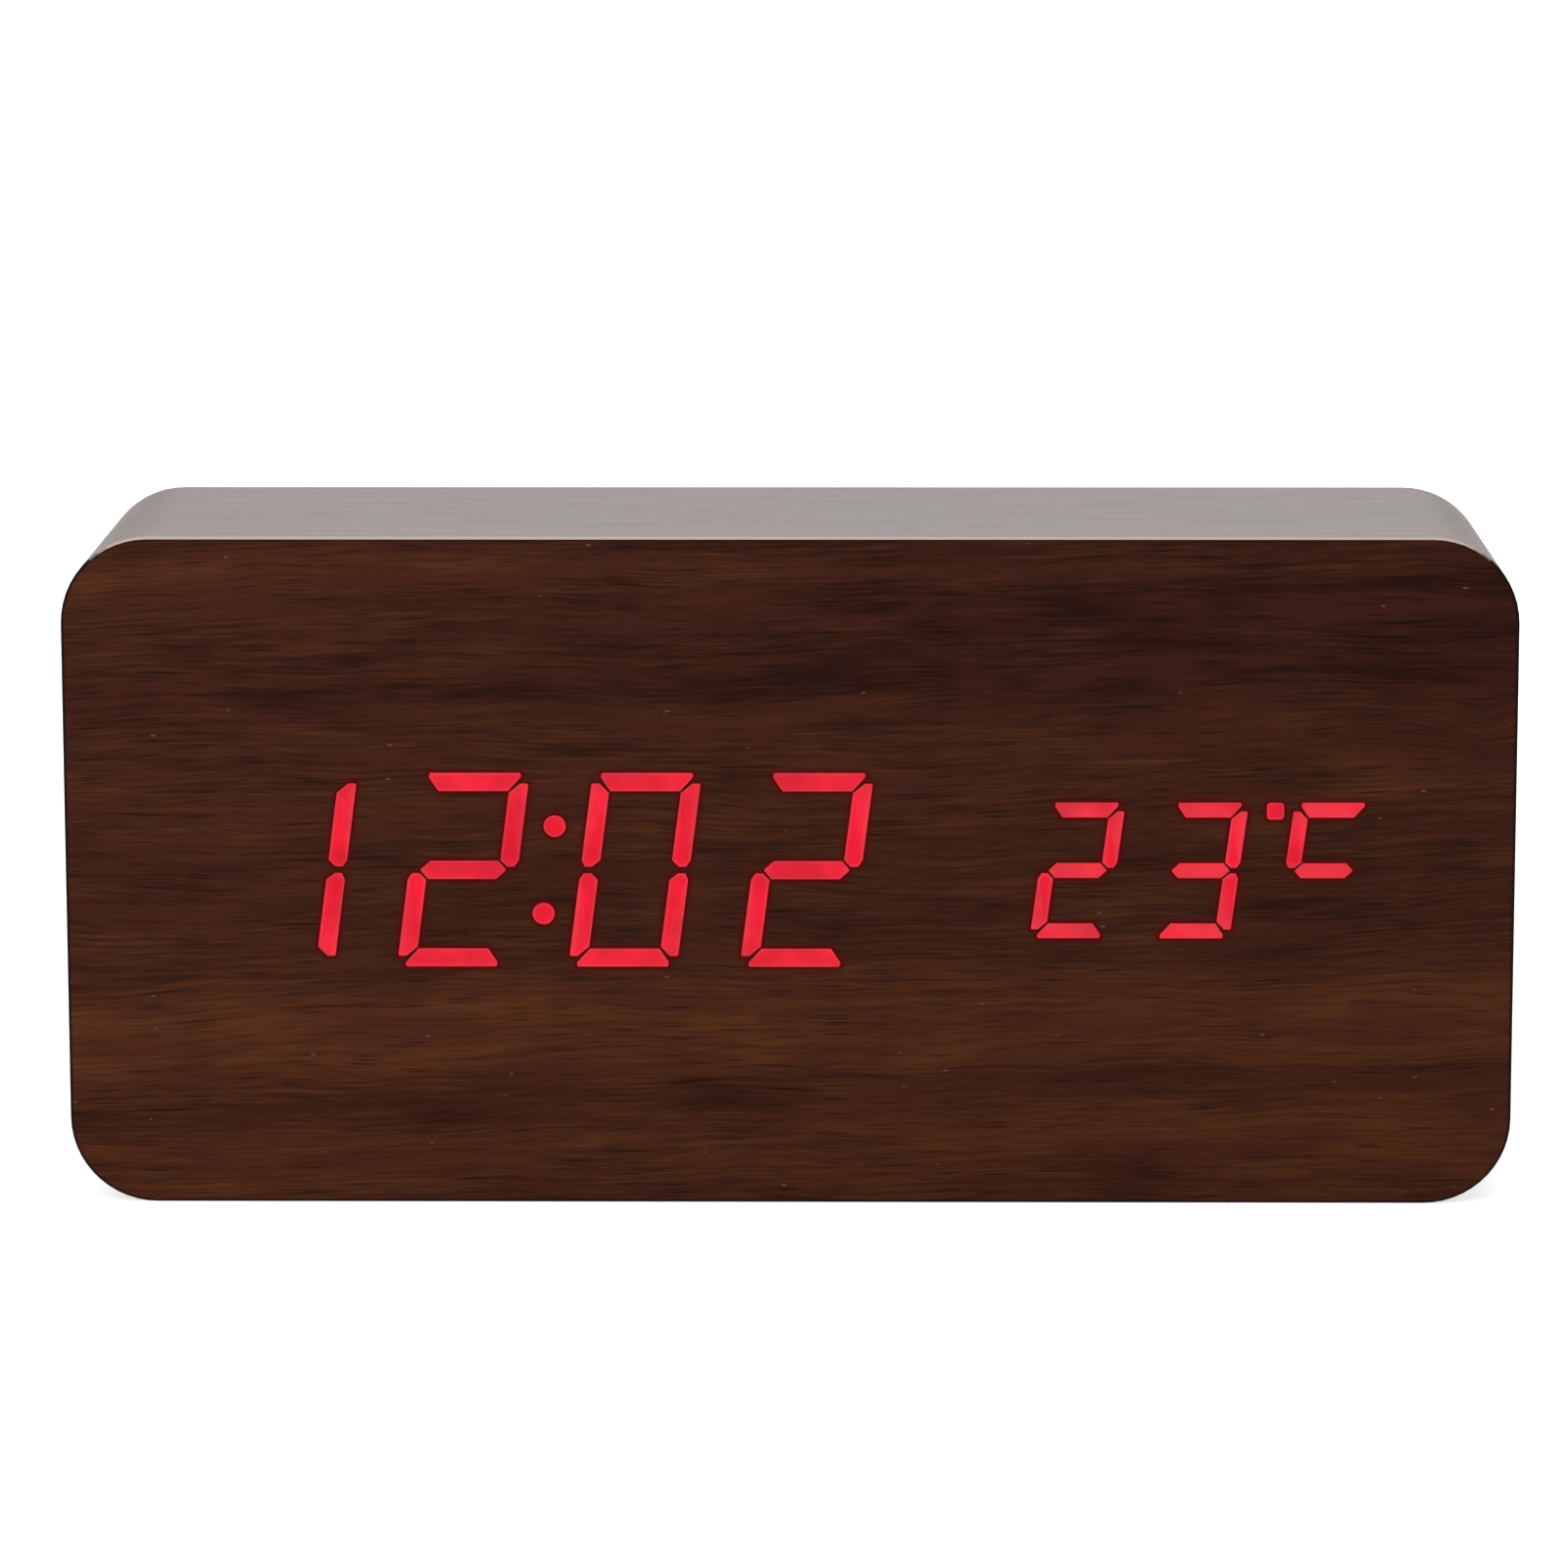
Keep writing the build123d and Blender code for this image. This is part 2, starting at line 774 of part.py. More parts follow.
with BuildPart() as crystal:
    with BuildSketch(across(control_board_front_y)):
        with Locations(on_board(crystal_place_share)):
            SlotOverall(crystal_length, crystal_width)
    extrude(amount=crystal_height)
save(crystal, "crystal")

capacitor_place = on_board(capacitor_place_share)
groove_start_y = control_board_front_y - capacitor_groove_rise_share * capacitor_height
with BuildPart() as capacitor:
    with BuildSketch(across(control_board_front_y)):
        with Locations(capacitor_place):
            Circle(capacitor_diameter / 2)
    extrude(amount=capacitor_height)
    with BuildSketch(across(groove_start_y)):
        with Locations(capacitor_place):
            Circle(capacitor_diameter / 2)
            Circle(capacitor_diameter / 2 - capacitor_groove, mode=Mode.SUBTRACT)
    extrude(amount=capacitor_groove_width_share * capacitor_height, mode=Mode.SUBTRACT)
save(capacitor, "capacitor")

with BuildPart() as resistors:
    with BuildSketch(across(control_board_front_y)):
        with Locations(on_board(resistor_place_share)):
            with GridLocations(resistor_pitch, 0, resistor_count, 1):
                Rectangle(resistor_width, resistor_length)
    extrude(amount=resistor_thickness)
save(resistors, "resistors")

coin_place = on_board(coin_place_share)
coin_rear_y = control_board_front_y - coin_holder_floor
coin_front_y = coin_rear_y - coin_thickness
holder_radius = coin_diameter / 2 + coin_clearance + coin_holder_wall

with BuildPart() as coin_cell:
    with BuildSketch(across(coin_rear_y)):
        with Locations(coin_place):
            Circle(coin_diameter / 2)
    extrude(amount=coin_thickness)
save(coin_cell, "coin_cell")

with BuildPart() as coin_cell_holder:
    with BuildSketch(across(control_board_front_y)):
        with Locations(coin_place):
            Circle(holder_radius)
    extrude(amount=control_board_front_y - coin_front_y)
    with BuildSketch(across(coin_rear_y)):
        with Locations(coin_place):
            Circle(coin_diameter / 2 + coin_clearance)
            Rectangle(
                coin_holder_mouth_share * coin_diameter,
                2 * holder_radius,
                align=(Align.CENTER, Align.MIN),
            )
    extrude(amount=coin_thickness, mode=Mode.SUBTRACT)
save(coin_cell_holder, "coin_cell_holder")

clip_span = 2 * (holder_radius + coin_clearance + clip_thickness)
with BuildPart() as coin_cell_clip:
    with BuildSketch(across(control_board_front_y)):
        with Locations(coin_place):
            Rectangle(clip_span, clip_width)
    extrude(amount=control_board_front_y - coin_front_y + clip_thickness)
    with BuildSketch(across(control_board_front_y)):
        with Locations(coin_place):
            Rectangle(clip_span - 2 * clip_thickness, clip_width)
    extrude(amount=control_board_front_y - coin_front_y, mode=Mode.SUBTRACT)
save(coin_cell_clip, "coin_cell_clip")

# The ribbon between the boards, in a header on each

control_header_place = on_board(control_header_place_share)
display_header_place = (control_header_place[0], mid_height + display_header_rise)


def board_header(board_y, place, forwards):
    """An open box that stands forwards from a board, or backwards for -1, with room for a plug."""
    with BuildPart() as header:
        with BuildSketch(across(board_y)):
            with Locations(place):
                Rectangle(header_length, header_width)
        extrude(amount=forwards * header_height)
        with BuildSketch(across(board_y - forwards * header_floor)):
            with Locations(place):
                Rectangle(header_length - 2 * header_wall, header_width - 2 * header_wall)
        extrude(amount=forwards * header_height, mode=Mode.SUBTRACT)
    return header


display_header = board_header(display_board_rear_y, display_header_place, forwards=-1)
save(display_header, "display_header")
control_header = board_header(control_board_front_y, control_header_place, forwards=1)
save(control_header, "control_header")

plug_gap = header_wall + plug_clearance
with BuildPart() as ribbon_plugs:
    with BuildSketch(across(display_board_rear_y + header_floor + plug_height)):
        with Locations(display_header_place):
            Rectangle(header_length - 2 * plug_gap, header_width - 2 * plug_gap)
    extrude(amount=plug_height)
    with BuildSketch(across(control_board_front_y - header_floor)):
        with Locations(control_header_place):
            Rectangle(header_length - 2 * plug_gap, header_width - 2 * plug_gap)
    extrude(amount=plug_height)
save(ribbon_plugs, "ribbon_plugs")

ribbon_front_y = display_board_rear_y + header_floor + plug_height
ribbon_rear_y = control_board_front_y - header_floor - plug_height
ribbon_turn_y = (ribbon_front_y + ribbon_rear_y) / 2
ribbon_radius = ribbon_radius_share * (ribbon_rear_y - ribbon_front_y)
with BuildPart() as ribbon_cable:
    with BuildSketch(Plane.YZ.offset(control_header_place[0] - ribbon_width / 2)):
        with BuildLine():
            FilletPolyline(
                (ribbon_front_y, display_header_place[1]),
                (ribbon_turn_y, display_header_place[1]),
                (ribbon_turn_y, control_header_place[1]),
                (ribbon_rear_y, control_header_place[1]),
                radius=ribbon_radius,
            )
        trace(line_width=ribbon_thickness)
    extrude(amount=ribbon_width)
save(ribbon_cable, "ribbon_cable")

# The battery bay fills the room between the posts, and the cells and their contacts fill the bay

bay_width = bay_width_share * cavity_width
bay_height = post_gap - 2 * (bay_post_gap + bay_wall)
cell_pitch = bay_height / cell_count
cell_diameter = cell_pitch - cell_gap
cell_length = bay_width - leaf_height - leaf_gap - 2 * contact_plate
bay_right_x = cavity_width / 2 - bay_side_gap - bay_wall
bay_x = bay_right_x - bay_width / 2
door_front_y = panel_rear_y - door_thickness
cell_y = door_front_y - cell_door_gap - cell_diameter / 2
bay_floor_y = cell_y - cell_diameter / 2 - cell_floor_gap
bay_front_y = bay_floor_y - bay_wall
recess_width = bay_width + 2 * door_overlap
recess_height = bay_height + 2 * door_overlap
door_width = recess_width - 2 * door_clearance
door_height = recess_height - 2 * door_clearance
door_top_z = mid_height + door_height / 2
door_bottom_z = mid_height - door_height / 2
tab_root = door_overlap - door_clearance - tab_clearance
tab_swing = math.hypot(door_thickness + tab_thickness, tab_reach)
tab_slot_rear_y = door_front_y + tab_clearance
tab_slot_front_y = panel_rear_y - tab_swing - tab_clearance
tab_slot_bottom_z = mid_height + bay_height / 2
tab_slot_height = door_top_z + tab_reach + tab_clearance - tab_slot_bottom_z
cell_heights = [mid_height + (i - (cell_count - 1) / 2) * cell_pitch for i in range(cell_count)]

# Rear panel: a plate with a battery bay, board bosses and two walls for the jack on its inner side

jack_place = (jack_side_gap - cavity_width / 2, mid_height + button_rise)
jack_wall_spread = jack_width + 2 * jack_clearance + jack_wall
button_places = {
    "set": (control_board_x - button_pitch, mid_height + button_rise),
    "up": (control_board_x, mid_height + button_rise),
    "down": (control_board_x + button_pitch, mid_height + button_rise),
}
vent_place = on_board(bead_place_share)
buzzer_place = on_board(buzzer_place_share)
microphone_place = on_board(microphone_place_share)
tail_places = [(bay_x - bay_width / 2, cell_heights[0]), (bay_x + bay_width / 2, cell_heights[-1])]

with BuildPart() as rear_panel:
    with BuildSketch(across(panel_rear_y)):
        with Locations((0, mid_height)):
            RectangleRounded(
                cavity_width - 2 * panel_clearance,
                cavity_height - 2 * panel_clearance,
                panel_pocket_radius - panel_clearance,
            )
    extrude(amount=panel_thickness)
    chamfer(rear_panel.faces().sort_by(Axis.Y)[-1].outer_wire().edges(), panel_bevel)
    with BuildSketch(across(panel_front_y)):
        with Locations((bay_x, mid_height)):
            Rectangle(bay_width + 2 * bay_wall, bay_height + 2 * bay_wall)
    extrude(amount=panel_front_y - bay_front_y)
    with BuildSketch(across(panel_front_y)):
        with Locations(*boss_places):
            Circle(boss_diameter / 2)
    extrude(amount=boss_height)
    with BuildSketch(across(panel_front_y)):
        with Locations(jack_place):
            with GridLocations(jack_wall_spread, 0, 2, 1):
                Rectangle(jack_wall, jack_width)
    extrude(amount=jack_wall_reach)
    with BuildSketch(across(panel_rear_y)):
        with Locations((bay_x, mid_height)):
            RectangleRounded(recess_width, recess_height, door_corner_radius)
    extrude(amount=door_thickness, mode=Mode.SUBTRACT)
    with BuildSketch(across(door_front_y)):
        with Locations((bay_x, mid_height)):
            Rectangle(bay_width, bay_height)
    extrude(amount=door_front_y - bay_floor_y, mode=Mode.SUBTRACT)
    with BuildSketch(across(bay_floor_y + rib_height)):
        with Locations((bay_x, mid_height)):
            with GridLocations(0, cell_pitch, 1, cell_count - 1):
                Rectangle(rib_length_share * cell_length, rib_thickness)
    extrude(amount=rib_height)
    with BuildSketch(across(bay_floor_y)):
        for (x, z), inwards in zip(tail_places, (1, -1)):
            with Locations((x + inwards * (contact_plate + tail_clearance) / 2, z)):
                Rectangle(contact_plate + tail_clearance, tail_width + 2 * tail_clearance)
    extrude(amount=bay_wall, mode=Mode.SUBTRACT)
    with BuildSketch(across(tab_slot_rear_y)):
        with Locations((bay_x, tab_slot_bottom_z + tab_slot_height / 2)):
            with GridLocations(tab_spread, 0, 2, 1):
                Rectangle(tab_width + 2 * tab_clearance, tab_slot_height)
    extrude(amount=tab_slot_rear_y - tab_slot_front_y, mode=Mode.SUBTRACT)
    with BuildSketch(across(panel_rear_y)):
        with Locations((bay_x, mid_height - recess_height / 2)):
            Circle(scoop_radius)
    extrude(amount=scoop_depth, mode=Mode.SUBTRACT)
    with BuildSketch(across(panel_rear_y)):
        with Locations(*button_places.values()):
            Circle(button_diameter / 2 + button_clearance)
        with Locations(jack_place):
            Circle(inlet_hole / 2)
        with Locations(*panel_screw_places):
            Circle(panel_screw_shank / 2 + screw_hole_clearance)
        with Locations(vent_place):
            with GridLocations(vent_pitch, 0, vent_count, 1):
                SlotOverall(vent_length, vent_width, rotation=90)
        with Locations(buzzer_place):
            Circle(sound_hole / 2)
            with PolarLocations(sound_hole_ring, sound_hole_count):
                Circle(sound_hole / 2)
        with Locations(microphone_place):
            Circle(microphone_hole / 2)
    extrude(amount=panel_thickness, mode=Mode.SUBTRACT)
    with BuildSketch(across(control_board_rear_y)):
        with Locations(*boss_places):
            Circle(small_screw_shank / 2 + pilot_clearance)
    extrude(amount=board_thickness - boss_screw_length - pilot_end_gap, mode=Mode.SUBTRACT)
    with BuildSketch(across(panel_rear_y + mark_height)):
        with Locations(button_places["set"]):
            with Locations((0, mark_rise)):
                Circle(mark_size / 2)
                Circle(mark_size / 2 - mark_line, mode=Mode.SUBTRACT)
        with Locations(button_places["up"]):
            with Locations((0, mark_rise)):
                Rectangle(mark_size, mark_line)
                Rectangle(mark_line, mark_size)
        with Locations(button_places["down"]):
            with Locations((0, mark_rise)):
                Rectangle(mark_size, mark_line)
    extrude(amount=mark_height)
save(rear_panel, "rear_panel")

rear_panel_screws = pan_head_screws(
    panel_rear_y,
    panel_screw_places,
    panel_screw_shank,
    panel_screw_length,
    panel_screw_head,
    panel_screw_head_height,
)
save(rear_panel_screws, "rear_panel_screws")

# Three push buttons, each with a switch on the board and a plunger between them

switch_rear_y = control_board_rear_y + switch_height
button_rear_y = panel_rear_y + button_proud
flange_rear_y = panel_front_y - button_play
flange_front_y = flange_rear_y - button_flange_thickness
plunger_front_y = switch_rear_y - plunger_seat
dish_half_width = button_dish_share * button_diameter / 2
dish_radius = (dish_half_width**2 + button_dish_depth**2) / (2 * button_dish_depth)

for name, place in button_places.items():
    with BuildPart() as push_switch:
        with BuildSketch(across(switch_rear_y)) as switch_outline:
            with Locations(place):
                Rectangle(switch_size, switch_size)
            chamfer(switch_outline.vertices(), switch_corner_cut)
        extrude(amount=switch_height)
        with BuildSketch(across(switch_rear_y)):
            with Locations(place):
                Circle(plunger_diameter / 2 + plunger_clearance)
        extrude(amount=plunger_seat + button_travel + plunger_clearance, mode=Mode.SUBTRACT)
    save(push_switch, f"{name}_switch")

    with BuildPart() as plunger:
        with BuildSketch(across(flange_front_y)):
            with Locations(place):
                Circle(plunger_diameter / 2)
        extrude(amount=flange_front_y - plunger_front_y)
    save(plunger, f"{name}_plunger")

    with BuildPart() as button:
        with BuildSketch(across(button_rear_y)):
            with Locations(place):
                Circle(button_diameter / 2)
        extrude(amount=button_rear_y - flange_rear_y)
        fillet(button.edges().group_by(Axis.Y)[-1], button_round)
        with BuildSketch(across(flange_rear_y)):
            with Locations(place):
                Circle(button_flange / 2)
        extrude(amount=button_flange_thickness)
        with Locations((place[0], button_rear_y - button_dish_depth + dish_radius, place[1])):
            Sphere(dish_radius, mode=Mode.SUBTRACT)
    save(button, f"{name}_button")

# Power jack: a block with a bore that opens through the panel, a pin in the bore and two solder lugs

jack_front_y = panel_front_y - jack_length
jack_floor_y = panel_front_y - jack_bore_depth
with BuildPart() as dc_jack:
    with BuildSketch(across(panel_front_y)):
        with Locations(jack_place):
            Rectangle(jack_width, jack_width)
    extrude(amount=jack_length)
    with BuildSketch(across(panel_front_y)):
        with Locations(jack_place):
            Circle(jack_bore / 2)
    extrude(amount=jack_bore_depth, mode=Mode.SUBTRACT)
    with BuildSketch(across(jack_floor_y)):
        with Locations(jack_place):
            Circle(jack_pin / 2 + jack_pin_clearance)
    extrude(amount=jack_floor_y - jack_front_y, mode=Mode.SUBTRACT)
save(dc_jack, "dc_jack")

with BuildPart() as dc_jack_contacts:
    with BuildSketch(across(panel_front_y - jack_pin_drop)):
        with Locations(jack_place):
            Circle(jack_pin / 2)
    extrude(amount=jack_length - jack_pin_drop)
    fillet(dc_jack_contacts.edges().group_by(Axis.Y)[-1], pin_round_share * jack_pin)
    with BuildSketch(across(jack_front_y)):
        with Locations(jack_place):
            with GridLocations(0, jack_lug_spread, 1, 2):
                Rectangle(jack_lug_thickness, jack_lug_width)
    extrude(amount=jack_lug_length)
save(dc_jack_contacts, "dc_jack_contacts")

# Temperature bead, sounder and microphone, on the side of the control board that faces the panel

bead_y = panel_front_y - bead_gap - bead_diameter / 2
with BuildPart() as temperature_bead:
    with Locations((vent_place[0], bead_y, vent_place[1])):
        Sphere(bead_diameter / 2)
    with BuildSketch(across(bead_y)):
        with Locations(vent_place):
            with GridLocations(bead_lead_spread, 0, 2, 1):
                Circle(bead_lead / 2)
    extrude(amount=bead_y - control_board_rear_y)
save(temperature_bead, "temperature_bead")

with BuildPart() as buzzer:
    with BuildSketch(across(control_board_rear_y + buzzer_height)):
        with Locations(buzzer_place):
            Circle(buzzer_diameter / 2)
    extrude(amount=buzzer_height)
    with BuildSketch(across(control_board_rear_y + buzzer_height)):
        with Locations(buzzer_place):
            Circle(buzzer_bore / 2)
    extrude(amount=buzzer_bore_depth, mode=Mode.SUBTRACT)
save(buzzer, "buzzer")

with BuildPart() as microphone:
    with BuildSketch(across(control_board_rear_y + microphone_height)):
        with Locations(microphone_place):
            Circle(microphone_diameter / 2)
    extrude(amount=microphone_height)
save(microphone, "microphone")

# Battery door: a plate with two tabs at its top edge, and a springy tongue with ridges at its bottom edge

with BuildPart() as battery_door:
    with BuildSketch(across(panel_rear_y)):
        with Locations((bay_x, mid_height)):
            RectangleRounded(door_width, door_height, door_corner_radius)
        with Locations((bay_x, door_bottom_z)):
            with GridLocations(tongue_width + tongue_slit, 0, 2, 1):
                Rectangle(tongue_slit, 2 * tongue_length, mode=Mode.SUBTRACT)
    extrude(amount=door_thickness)
    with BuildSketch(across(door_front_y)):
        with Locations((bay_x, door_top_z - tab_root)):
            with GridLocations(tab_spread, 0, 2, 1):
                Rectangle(tab_width, tab_root + tab_reach, align=(Align.CENTER, Align.MIN))
    extrude(amount=tab_thickness)
    with BuildSketch(across(door_front_y + hook_thickness)):
        with Locations((bay_x, door_bottom_z)):
            Rectangle(tongue_width, 2 * hook_reach)
    extrude(amount=hook_thickness)
    with BuildSketch(across(panel_rear_y + ridge_height)):
        with Locations((bay_x, door_bottom_z + tongue_length / 2)):
            with GridLocations(0, ridge_pitch, 1, ridge_count):
                Rectangle(tongue_width - 2 * ridge_width, ridge_width)
    extrude(amount=ridge_height)
save(battery_door, "battery_door")

# Cells in series, laid turn and turn about, with a plate at each end and a bowed leaf at each flat end

for i, z in enumerate(cell_heights):
    nub_side = 1 if i % 2 == 0 else -1
    nub_end_x = bay_x + nub_side * (bay_width / 2 - contact_plate)
    flat_end_x = nub_end_x - nub_side * cell_length
    with BuildPart() as battery_cell:
        with BuildSketch(Plane.YZ.offset(flat_end_x)):
            with Locations((cell_y, z)):
                Circle(cell_diameter / 2)
        extrude(amount=nub_side * (cell_length - cell_nub_height))
        fillet(battery_cell.edges().filter_by(GeomType.CIRCLE), cell_edge_radius)
        with BuildSketch(Plane.YZ.offset(nub_end_x)):
            with Locations((cell_y, z)):
                Circle(cell_nub_diameter / 2)
        extrude(amount=-nub_side * cell_nub_height)
    save(battery_cell, f"battery_cell_{i + 1}")


def cells_joined_at(side):
    """The cells that share a plate, for each plate at the right (1) or the left (-1) end of the bay."""
    alone = [] if side > 0 else [[0]]
    return alone + [list(range(i, min(i + 2, cell_count))) for i in range(len(alone), cell_count, 2)]


with BuildPart() as battery_contact_plates:
    for side, tail_cell in ((-1, 0), (1, cell_count - 1)):
        with BuildSketch(Plane.YZ.offset(bay_x + side * bay_width / 2)):
            for cells in cells_joined_at(side):
                middle_z = (cell_heights[cells[0]] + cell_heights[cells[-1]]) / 2
                with Locations((cell_y, middle_z)):
                    Rectangle(contact_depth, contact_width + (len(cells) - 1) * cell_pitch)
            with Locations((bay_front_y - tail_reach, cell_heights[tail_cell])):
                Rectangle(
                    cell_y - bay_front_y + tail_reach, tail_width, align=(Align.MIN, Align.CENTER)
                )
        extrude(amount=-side * contact_plate)
save(battery_contact_plates, "battery_contact_plates")

with BuildPart() as battery_leaf_springs:
    for i, z in enumerate(cell_heights):
        leaf_side = -1 if i % 2 == 0 else 1
        foot_x = bay_x + leaf_side * (bay_width / 2 - contact_plate)
        crest_x = foot_x - leaf_side * leaf_height
        hollow_x = crest_x + leaf_side * contact_plate
        outer_front = (foot_x, cell_y - leaf_span / 2)
        outer_rear = (foot_x, cell_y + leaf_span / 2)
        inner_front = (foot_x, cell_y - leaf_span / 2 + contact_plate)
        inner_rear = (foot_x, cell_y + leaf_span / 2 - contact_plate)
        with BuildSketch(Plane.XY.offset(z - leaf_width / 2)):
            with BuildLine():
                ThreePointArc(outer_front, (crest_x, cell_y), outer_rear)
                Line(outer_rear, inner_rear)
                ThreePointArc(inner_rear, (hollow_x, cell_y), inner_front)
                Line(inner_front, outer_front)
            make_face()
        extrude(amount=leaf_width)
save(battery_leaf_springs, "battery_leaf_springs")

# Wires, each from a tail or a lug, forwards, across and back to its pad on the control board


def wire(start_x, start_y, pad_x, z):
    """A round wire at height z that ends face to face with the tab it starts from and with the board."""
    with BuildPart() as made:
        with BuildLine() as route:
            FilletPolyline(
                (start_x, start_y, z),
                (start_x, start_y - wire_stub, z),
                (pad_x, start_y - wire_stub, z),
                (pad_x, control_board_front_y, z),
                radius=wire_radius,
            )
        with BuildSketch(Plane(origin=(start_x, start_y, z), z_dir=(0, -1, 0))):
            Circle(wire_diameter / 2)
        sweep(path=route.wires()[0])
    return made


wire_pad_inset = boss_inset + (small_screw_head + wire_diameter) / 2 + wire_pad_gap
tail_end_y = bay_front_y - tail_reach
battery_pad_x = control_board_x + control_board_width / 2 - wire_pad_inset
black_battery_wire = wire(
    tail_places[0][0] + contact_plate / 2, tail_end_y, battery_pad_x, tail_places[0][1]
)
save(black_battery_wire, "black_battery_wire")
red_battery_wire = wire(
    tail_places[1][0] - contact_plate / 2, tail_end_y, battery_pad_x, tail_places[1][1]
)
save(red_battery_wire, "red_battery_wire")

lug_end_y = jack_front_y - jack_lug_length
jack_pad_x = control_board_x - control_board_width / 2 + wire_pad_inset
black_jack_wire = wire(jack_place[0], lug_end_y, jack_pad_x, jack_place[1] - jack_lug_spread / 2)
save(black_jack_wire, "black_jack_wire")
red_jack_wire = wire(jack_place[0], lug_end_y, jack_pad_x, jack_place[1] + jack_lug_spread / 2)
save(red_jack_wire, "red_jack_wire")
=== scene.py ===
import math

import bmesh
import bpy
from mathutils import Matrix, Vector
from mathutils.geometry import delaunay_2d_cdt


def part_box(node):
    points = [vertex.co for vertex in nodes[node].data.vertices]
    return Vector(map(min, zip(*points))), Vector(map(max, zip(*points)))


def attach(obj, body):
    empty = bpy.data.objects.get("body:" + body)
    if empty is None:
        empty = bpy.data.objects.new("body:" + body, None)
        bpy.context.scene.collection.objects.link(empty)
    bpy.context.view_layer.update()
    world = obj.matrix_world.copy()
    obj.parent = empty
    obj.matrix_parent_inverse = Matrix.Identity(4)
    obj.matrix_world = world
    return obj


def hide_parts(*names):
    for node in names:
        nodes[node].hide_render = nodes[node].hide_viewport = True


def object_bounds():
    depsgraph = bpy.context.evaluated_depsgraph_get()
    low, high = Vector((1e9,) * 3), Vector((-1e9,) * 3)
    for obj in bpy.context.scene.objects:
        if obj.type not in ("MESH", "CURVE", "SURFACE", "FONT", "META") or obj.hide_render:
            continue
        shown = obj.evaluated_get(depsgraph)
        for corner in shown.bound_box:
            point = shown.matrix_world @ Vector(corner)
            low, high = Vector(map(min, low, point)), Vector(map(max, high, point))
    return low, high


# The looks of a digital desk clock: dark walnut veneer with red numerals shining through it, and a black
# moulded panel at the back. Lengths are in metres, and a material's own lengths are in millimetres.

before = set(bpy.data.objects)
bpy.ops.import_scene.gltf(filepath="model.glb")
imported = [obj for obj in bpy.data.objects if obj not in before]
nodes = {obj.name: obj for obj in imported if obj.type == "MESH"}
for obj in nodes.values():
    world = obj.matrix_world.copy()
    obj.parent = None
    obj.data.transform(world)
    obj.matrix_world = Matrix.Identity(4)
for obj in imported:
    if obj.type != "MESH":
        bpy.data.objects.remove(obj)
cad_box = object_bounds()
MM = 0.001

# Camera, as fitted to the photograph's outline

IMAGE_SIDE = 1600
FOCAL_PIXELS = 6710
SENSOR = 36.0
CLIP = (0.01, 50.0)
CAMERA_TARGET = Vector((0, 0, 35 * MM))
CAMERA_DISTANCE = 0.7
CAMERA_PITCH = math.radians(10.08)
CAMERA_YAW = math.radians(-0.69)
CAMERA_ROLL = math.radians(0.07)
CAMERA_RIGHT = 0.80 * MM
CAMERA_UP = -5.71 * MM


def add_camera():
    """Looks down at the clock's front, at the photograph's angle and framing."""
    data = bpy.data.cameras.new("camera")
    data.sensor_width = SENSOR
    data.lens = FOCAL_PIXELS * SENSOR / IMAGE_SIDE
    data.clip_start, data.clip_end = CLIP
    camera = bpy.data.objects.new("camera", data)
    bpy.context.scene.collection.objects.link(camera)
    pitch, yaw, roll = CAMERA_PITCH, CAMERA_YAW, CAMERA_ROLL
    level = Vector((math.cos(yaw), -math.sin(yaw), 0))
    forward = Vector((math.cos(pitch) * math.sin(yaw), math.cos(pitch) * math.cos(yaw), -math.sin(pitch)))
    upright = level.cross(forward)
    right = math.cos(roll) * level - math.sin(roll) * upright
    up = math.sin(roll) * level + math.cos(roll) * upright
    turn = Matrix((right, up, -forward)).transposed()
    place = CAMERA_TARGET - CAMERA_RIGHT * right - CAMERA_UP * up - CAMERA_DISTANCE * forward
    camera.matrix_world = Matrix.Translation(place) @ turn.to_4x4()
    bpy.context.scene.camera = camera


# Node trees

# The span that most of a noise lies in
NOISE_MIDDLE = (0.3, 0.7)


